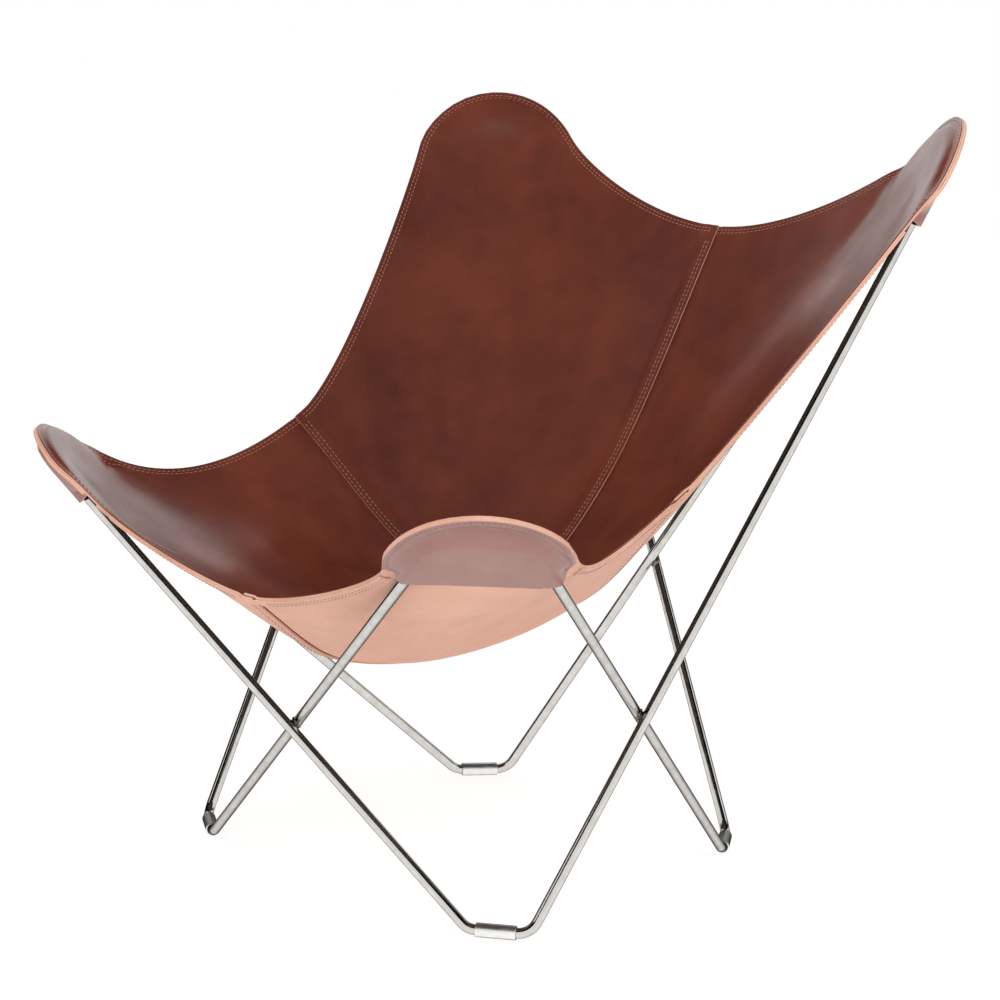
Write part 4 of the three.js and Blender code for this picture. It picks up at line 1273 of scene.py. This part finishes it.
def nap_effect() -> Group:
    """Flesh side and cut edges of the hide: cloudy tone, short fibres, and fat wrinkles."""
    effect = Effect("hide_nap")
    nodes, vector = effect.nodes, effect.vector
    bent = nodes.mapped(vector, (11.0, 16.0, 34.0), (0.0, 0.0, 0.0))
    return effect.put_out(
        Cloud=nodes.noise(vector, 10.0, 5.0, 0.6),
        Fibre=nodes.noise(vector, 1400.0, 4.0, 0.7),
        Wrinkle=nodes.share(nodes.noise(bent, 2.2, 5.0, 0.62), 0.54, 0.72),
    )


def polish_effect() -> Group:
    """Worked steel: fine scratches along the piece's map, and a cloudy haze."""
    effect = Effect("steel_polish")
    nodes, vector = effect.nodes, effect.vector
    drawn = nodes.mapped(vector, (14.0, 2600.0, 1.0), (0.0, 0.0, 0.0))
    return effect.put_out(
        Scratch=nodes.noise(drawn, 1.0, 4.0, 0.7), Haze=nodes.noise(vector, 60.0, 3.0, 0.6)
    )


def new_material(name: str) -> tuple[Material, Nodes]:
    """An empty material and its nodes."""
    made = bpy.data.materials.new(name)
    made.use_nodes = True
    return made, Nodes(made.node_tree)


@dataclass(frozen=True)
class Finish:
    """A finish that becomes one material."""

    name: str

    def start(self, group: Group, source: str) -> tuple[Material, Nodes, bpy.types.NodeOutputs]:
        """A material, its nodes and an effect's outputs, on Object coordinates or the UV map."""
        made, nodes = new_material(self.name)
        where = {"Vector": nodes.add("TexCoord").outputs[source]}
        return made, nodes, nodes.add("Group", where, node_tree=group).outputs


@dataclass(frozen=True)
class GrainLeather(Finish):
    """Dyed grain side with a soft gloss."""

    deep: Colour = (0.124, 0.021, 0.009, 1.0)
    warm: Colour = (0.202, 0.04, 0.02, 1.0)
    worn: Colour = (0.24, 0.10, 0.075, 1.0)
    gloss: Pair = (0.27, 0.4)
    coat: float = 0.25

    def build(self, grain: Group) -> Material:
        """Mixes the dye by its mottling, lightens scuffs, and raises the pebbled grain."""
        made, nodes, hide = self.start(grain, "Object")
        dye = nodes.mix(nodes.share(hide["Mottle"], 0.36, 0.64), self.deep, self.warm)
        inputs = {
            "Base Color": nodes.mix(nodes.scaled(hide["Scuff"], 0.16), dye, self.worn),
            "Roughness": nodes.spread(hide["Mottle"], 0.3, 0.7, *self.gloss[::-1]),
            "Specular IOR Level": 0.85,
            "Coat Weight": self.coat,
            "Coat Roughness": 0.22,
        }
        nodes.surface(hide["Pebble"], 0.25 * MM, 0.2, inputs)
        return made


@dataclass(frozen=True)
class SuedeLeather(Finish):
    """Bare flesh side or cut edge."""

    pale: Colour = (0.93, 0.545, 0.41, 1.0)
    dark: Colour = (0.83, 0.46, 0.335, 1.0)
    fold: Colour = (0.92, 0.61, 0.49, 1.0)
    nap: float = 0.5
    # Near-black colour of a painted dark reflection: what glossy rays see of the suede and cut
    # edge.
    painted_dark_reflection: Colour = (0.012, 0.009, 0.008, 1.0)

    def build(self, nap: Group) -> Material:
        """Mixes the tone by clouds and folds, raises the fibres, and paints a dark reflection:
        glossy rays see the suede as near-black.
        """
        made, nodes, hide = self.start(nap, "Object")
        tone = nodes.mix(nodes.share(hide["Cloud"], 0.34, 0.66), self.dark, self.pale)
        colour = nodes.mix(nodes.scaled(hide["Wrinkle"], 0.3), tone, self.fold)
        # Painted reflection: glossy rays see the suede near-black, so the rods show dark lines
        # where they reflect it.
        mirrored = nodes.scaled(nodes.add("LightPath").outputs["Is Glossy Ray"], 0.96)
        inputs = {
            "Base Color": nodes.mix(mirrored, colour, self.painted_dark_reflection),
            "Roughness": nodes.spread(hide["Fibre"], 0.3, 0.7, 0.82, 0.96),
            "Sheen Weight": 0.04,
            "Sheen Roughness": 0.5,
        }
        height = nodes.math("ADD", nodes.scaled(hide["Fibre"], 0.4), hide["Wrinkle"])
        nodes.surface(height, 0.4 * MM, self.nap, inputs)
        return made


@dataclass(frozen=True)
class WaxedThread(Finish):
    """Twisted sewing thread."""

    light: Colour = (0.6, 0.29, 0.2, 1.0)
    shade: Colour = (0.4, 0.175, 0.11, 1.0)

    def build(self, nap: Group) -> Material:
        """Mixes two tones by the fibres."""
        made, nodes, yarn = self.start(nap, "Object")
        inputs = {
            "Base Color": nodes.mix(nodes.share(yarn["Fibre"], 0.35, 0.65), self.shade, self.light),
            "Roughness": nodes.spread(yarn["Cloud"], 0.3, 0.7, 0.5, 0.68),
        }
        nodes.surface(yarn["Fibre"], 0.15 * MM, 0.5, inputs)
        return made


@dataclass(frozen=True)
class WorkedSteel(Finish):
    """Plated steel, bright on the rods and matt on the sleeves."""

    bright: Colour = (0.72, 0.70, 0.67, 1.0)
    dull: Colour = (0.60, 0.58, 0.55, 1.0)
    gloss: Pair = (0.05, 0.15)
    depth: float = 0.01 * MM
    # rim and line: facing range and near-black colour of a painted dark reflection along the sides.
    rim: Pair = (0.52, 0.86)
    line: Colour = (0.05, 0.047, 0.045, 1.0)
    tint: Colour = (0.2, 0.2, 0.2, 1.0)

    def build(self, polish: Group) -> Material:
        """Mixes two tones by the haze, with a painted dark reflection on the sides that turn from
        view, and roughness and relief from scratches.
        """
        made, nodes, metal = self.start(polish, "UV")
        tone = nodes.mix(nodes.share(metal["Haze"], 0.35, 0.65), self.dull, self.bright)
        # Painted reflection: the colour darkens towards line as the surface turns away from the
        # view.
        facing = nodes.add("LayerWeight", {"Blend": 0.5}).outputs["Facing"]
        wear = nodes.math("MULTIPLY", metal["Scratch"], metal["Haze"])
        inputs = {
            "Base Color": nodes.mix(nodes.share(facing, *self.rim), tone, self.line),
            "Roughness": nodes.spread(wear, 0.12, 0.42, *self.gloss),
            "Metallic": 1.0,
            "Specular Tint": self.tint,
        }
        nodes.surface(metal["Scratch"], self.depth, 0.2, inputs)
        return made


def look(made: Object, place: Array, target: Array, roll: float = 0.0) -> None:
    """Stands a camera or lamp at a place, turned to a target and rolled by radians."""
    ahead = unit(target - place)
    right = unit(np.cross(ahead, UP))
    up = np.cross(right, ahead)
    cosine, sine = math.cos(roll), math.sin(roll)
    columns = [right * cosine + up * sine, up * cosine - right * sine, -ahead, place]
    made.matrix_world = Matrix(np.vstack([np.column_stack(columns), [0, 0, 0, 1]]).tolist())


@dataclass
class Studio:
    """The pale floor, the soft lamps, the dark cards, the white surround and the camera."""

    shift: Array
    eye_turn: float = 43.8257
    eye_rise: float = 11.398
    roll: float = 2.0675
    distance: float = 3.7625
    aim: Pair = (0.0129, -0.0194)
    look_height: float = 0.45
    sensor: float = 36.0
    focal_share: float = 3.1567
    surround: float = 0.72
    floor_radius: float = 9.0
    floor_drop: float = 0.2 * MM
    floor_sides: int = 96
    floor_paint: Colour = (0.92, 0.92, 0.92, 1.0)
    floor_shown: Colour = (0.3, 0.3, 0.3, 1.0)
    floor_glow: float = 0.8
    cloth: Colour = (0.012, 0.012, 0.012, 1.0)
    lamp_aim: tuple[float, float, float] = (0.0, 0.0, 0.4)
    lamps: tuple[tuple, ...] = (
        ("key_lamp", (2.6, -1.6, 2.9), 1.6, 46.0),
        ("fill_lamp", (-2.4, -2.6, 2.2), 2.0, 18.0),
    )
    flags: tuple[tuple, ...] = (
        ("top_flag", (0.55, -0.58, 3.5), 43.8, -90.0, (9.5, 8.0)),
        ("left_flag", (-2.84, -0.98, 1.5), 109.0, 0.0, (2.4, 3.0)),
        ("right_flag", (0.94, 2.85, 1.5), -18.0, 0.0, (1.0, 3.0)),
    )

    def place_camera(self) -> None:
        """Sets the camera on a sphere round the chair, aims it near the middle and rolls it."""
        back = toward(self.eye_turn, self.eye_rise)
        middle = np.array([0.0, 0.0, self.look_height]) + self.shift
        right = unit(np.cross(-back, UP))
        target = middle + right * self.aim[0] + np.cross(right, -back) * self.aim[1]
        data = bpy.data.cameras.new("camera")
        data.lens, data.sensor_width = self.focal_share * self.sensor, self.sensor
        data.clip_end = 100.0
        camera = placed("camera", data)
        look(camera, middle + back * self.distance, target, math.radians(self.roll))
        bpy.context.scene.camera = camera

    def seen(self, nodes: Nodes) -> Socket:
        """1 for rays that show the background: from the camera, from gloss, or through glass."""
        path = nodes.add("LightPath").outputs
        first = nodes.math("MAXIMUM", path["Is Camera Ray"], path["Is Glossy Ray"])
        return nodes.math("MAXIMUM", first, path["Is Transmission Ray"])

    def card(self, name: str, corners: Array, finish: Material, hidden: tuple[str, ...]) -> None:
        """A flat face of the stage that is hidden from some kinds of ray."""
        mesh = bpy.data.meshes.new(name)
        mesh.from_pydata(corners.tolist(), [], [list(range(len(corners)))])
        mesh.materials.append(finish)
        made = placed(name, mesh)
        for ray in hidden:
            setattr(made, f"visible_{ray}", False)

    def lay_floor(self) -> None:
        """A round pale floor that shows white and keeps a soft shadow."""
        made, nodes = new_material("studio_floor")
        paint = nodes.add("BsdfDiffuse", {"Color": self.floor_paint}).outputs[0]
        faint = nodes.add("BsdfDiffuse", {"Color": self.floor_shown}).outputs[0]
        glow = nodes.add("Emission", {"Color": WHITE, "Strength": self.floor_glow}).outputs[0]
        shown = nodes.add("AddShader", {0: faint, 1: glow}).outputs[0]
        mixed = nodes.add("MixShader", {0: self.seen(nodes), 1: paint, 2: shown}).outputs[0]
        nodes.add("OutputMaterial", {"Surface": mixed})
        arms = spokes(self.floor_sides, np.array([1.0, 0.0, 0.0]), np.array([0.0, 1.0, 0.0]))
        self.card("floor", arms * self.floor_radius - UP * self.floor_drop, made, ())

    def lamp(self, name: str, place: tuple[float, ...], size: float, power: float) -> None:
        """A square soft lamp that looks at the seat and doesn't show in gloss."""
        data = bpy.data.lights.new(name, "AREA")
        data.shape, data.size, data.energy = "SQUARE", size, power
        made = placed(name, data)
        made.visible_glossy = False
        look(made, np.array(place), np.array(self.lamp_aim))

    def flag(
        self, name: str, place: tuple[float, ...], turn: float, rise: float, size: Pair,
        cloth: Material,
    ) -> None:
        """A dark card that only shows in gloss, so that the rods have their dark lines.

        Args:
            name: Name of the card.
            place: Middle of the card.
            turn: Direction that it faces, in degrees from -Y towards +X.
            rise: Angle above the level that it faces, in degrees.
            size: Width and height.
            cloth: Material of the card.
        """
        across = toward(turn + 90.0, 0.0) * size[0] / 2.0
        upward = unit(np.cross(toward(turn, rise), across)) * size[1] / 2.0
        ends = [-across - upward, across - upward, across + upward, upward - across]
        hidden = ("camera", "diffuse", "transmission", "volume_scatter", "shadow")
        self.card(name, np.array(place) + np.array(ends), cloth, hidden)

    def light(self) -> None:
        """A white surround for what is seen, an even one for what is lit, lamps and dark cards."""
        world = bpy.data.worlds.new("studio")
        world.use_nodes = True
        nodes = Nodes(world.node_tree)
        lit, shown = (
            nodes.add("Background", {"Color": WHITE, "Strength": strength}).outputs[0]
            for strength in (self.surround, 1.0)
        )
        mixed = nodes.add("MixShader", {0: self.seen(nodes), 1: lit, 2: shown}).outputs[0]
        nodes.add("OutputWorld", {"Surface": mixed})
        bpy.context.scene.world = world
        for lamp in self.lamps:
            self.lamp(*lamp)
        cloth, nodes = new_material("flag_cloth")
        dark = nodes.add("BsdfDiffuse", {"Color": self.cloth}).outputs[0]
        nodes.add("OutputMaterial", {"Surface": dark})
        for flag in self.flags:
            self.flag(*flag, cloth)

    def build(self) -> None:
        """Builds the studio."""
        bpy.context.scene.view_settings.view_transform = "Standard"
        self.place_camera()
        self.lay_floor()
        self.light()


def main() -> None:
    """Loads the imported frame, dresses the chair piece by piece, and builds the studio."""
    logging.basicConfig(level=logging.INFO, format="%(name)s %(message)s", stream=sys.stdout)
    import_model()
    grain, nap, polish = grain_effect(), nap_effect(), polish_effect()
    top = GrainLeather("chestnut_grain").build(grain)
    # The pockets' outsides: a paler, mauve copy of the chestnut grain, whose lighter tone is
    # painted sheen and painted light.
    sheen_lit_pocket_leather = GrainLeather(
        "pocket_grain_painted_sheen",
        deep=(0.31, 0.125, 0.1, 1.0),
        warm=(0.39, 0.175, 0.145, 1.0),
        worn=(0.46, 0.27, 0.24, 1.0),
        gloss=(0.3, 0.44),
        coat=0.3,
    ).build(grain)
    suede = SuedeLeather("bare_suede").build(nap)
    raw = SuedeLeather(
        "raw_edge",
        pale=(0.84, 0.48, 0.36, 1.0),
        dark=(0.64, 0.33, 0.235, 1.0),
        fold=(0.88, 0.58, 0.46, 1.0),
        nap=0.7,
    ).build(nap)
    tan_thread = WaxedThread("tan_thread").build(nap)
    grey_thread = WaxedThread(
        "grey_thread", light=(0.36, 0.31, 0.3, 1.0), shade=(0.2, 0.165, 0.16, 1.0)
    ).build(nap)
    rod_steel = WorkedSteel("polished_rod").build(polish)
    sleeve_steel = WorkedSteel(
        "matt_sleeve",
        bright=(0.95, 0.94, 0.92, 1.0),
        dull=(0.84, 0.83, 0.81, 1.0),
        gloss=(0.3, 0.46),
        depth=0.03 * MM,
    ).build(polish)
    weld_steel = WorkedSteel(
        "weld_bead",
        bright=(0.34, 0.31, 0.28, 1.0),
        dull=(0.16, 0.14, 0.125, 1.0),
        gloss=(0.2, 0.4),
    ).build(polish)

    frame = RodFrame()
    frame.build_rods(rod_steel)
    frame.build_welds(weld_steel)
    FootSleeves().build(frame, sleeve_steel)
    form = SlingForm(frame)
    bands, pockets = EdgeBands(form), EarPockets(form)
    SlingPanels(form).build([top, suede, raw])
    pockets.build([suede, sheen_lit_pocket_leather, raw])
    bands.build([suede, suede, raw])
    Stitching(form, bands, pockets).build(tan_thread, grey_thread)
    Studio(frame.shift).build()


if __name__ == "__main__":
    main()
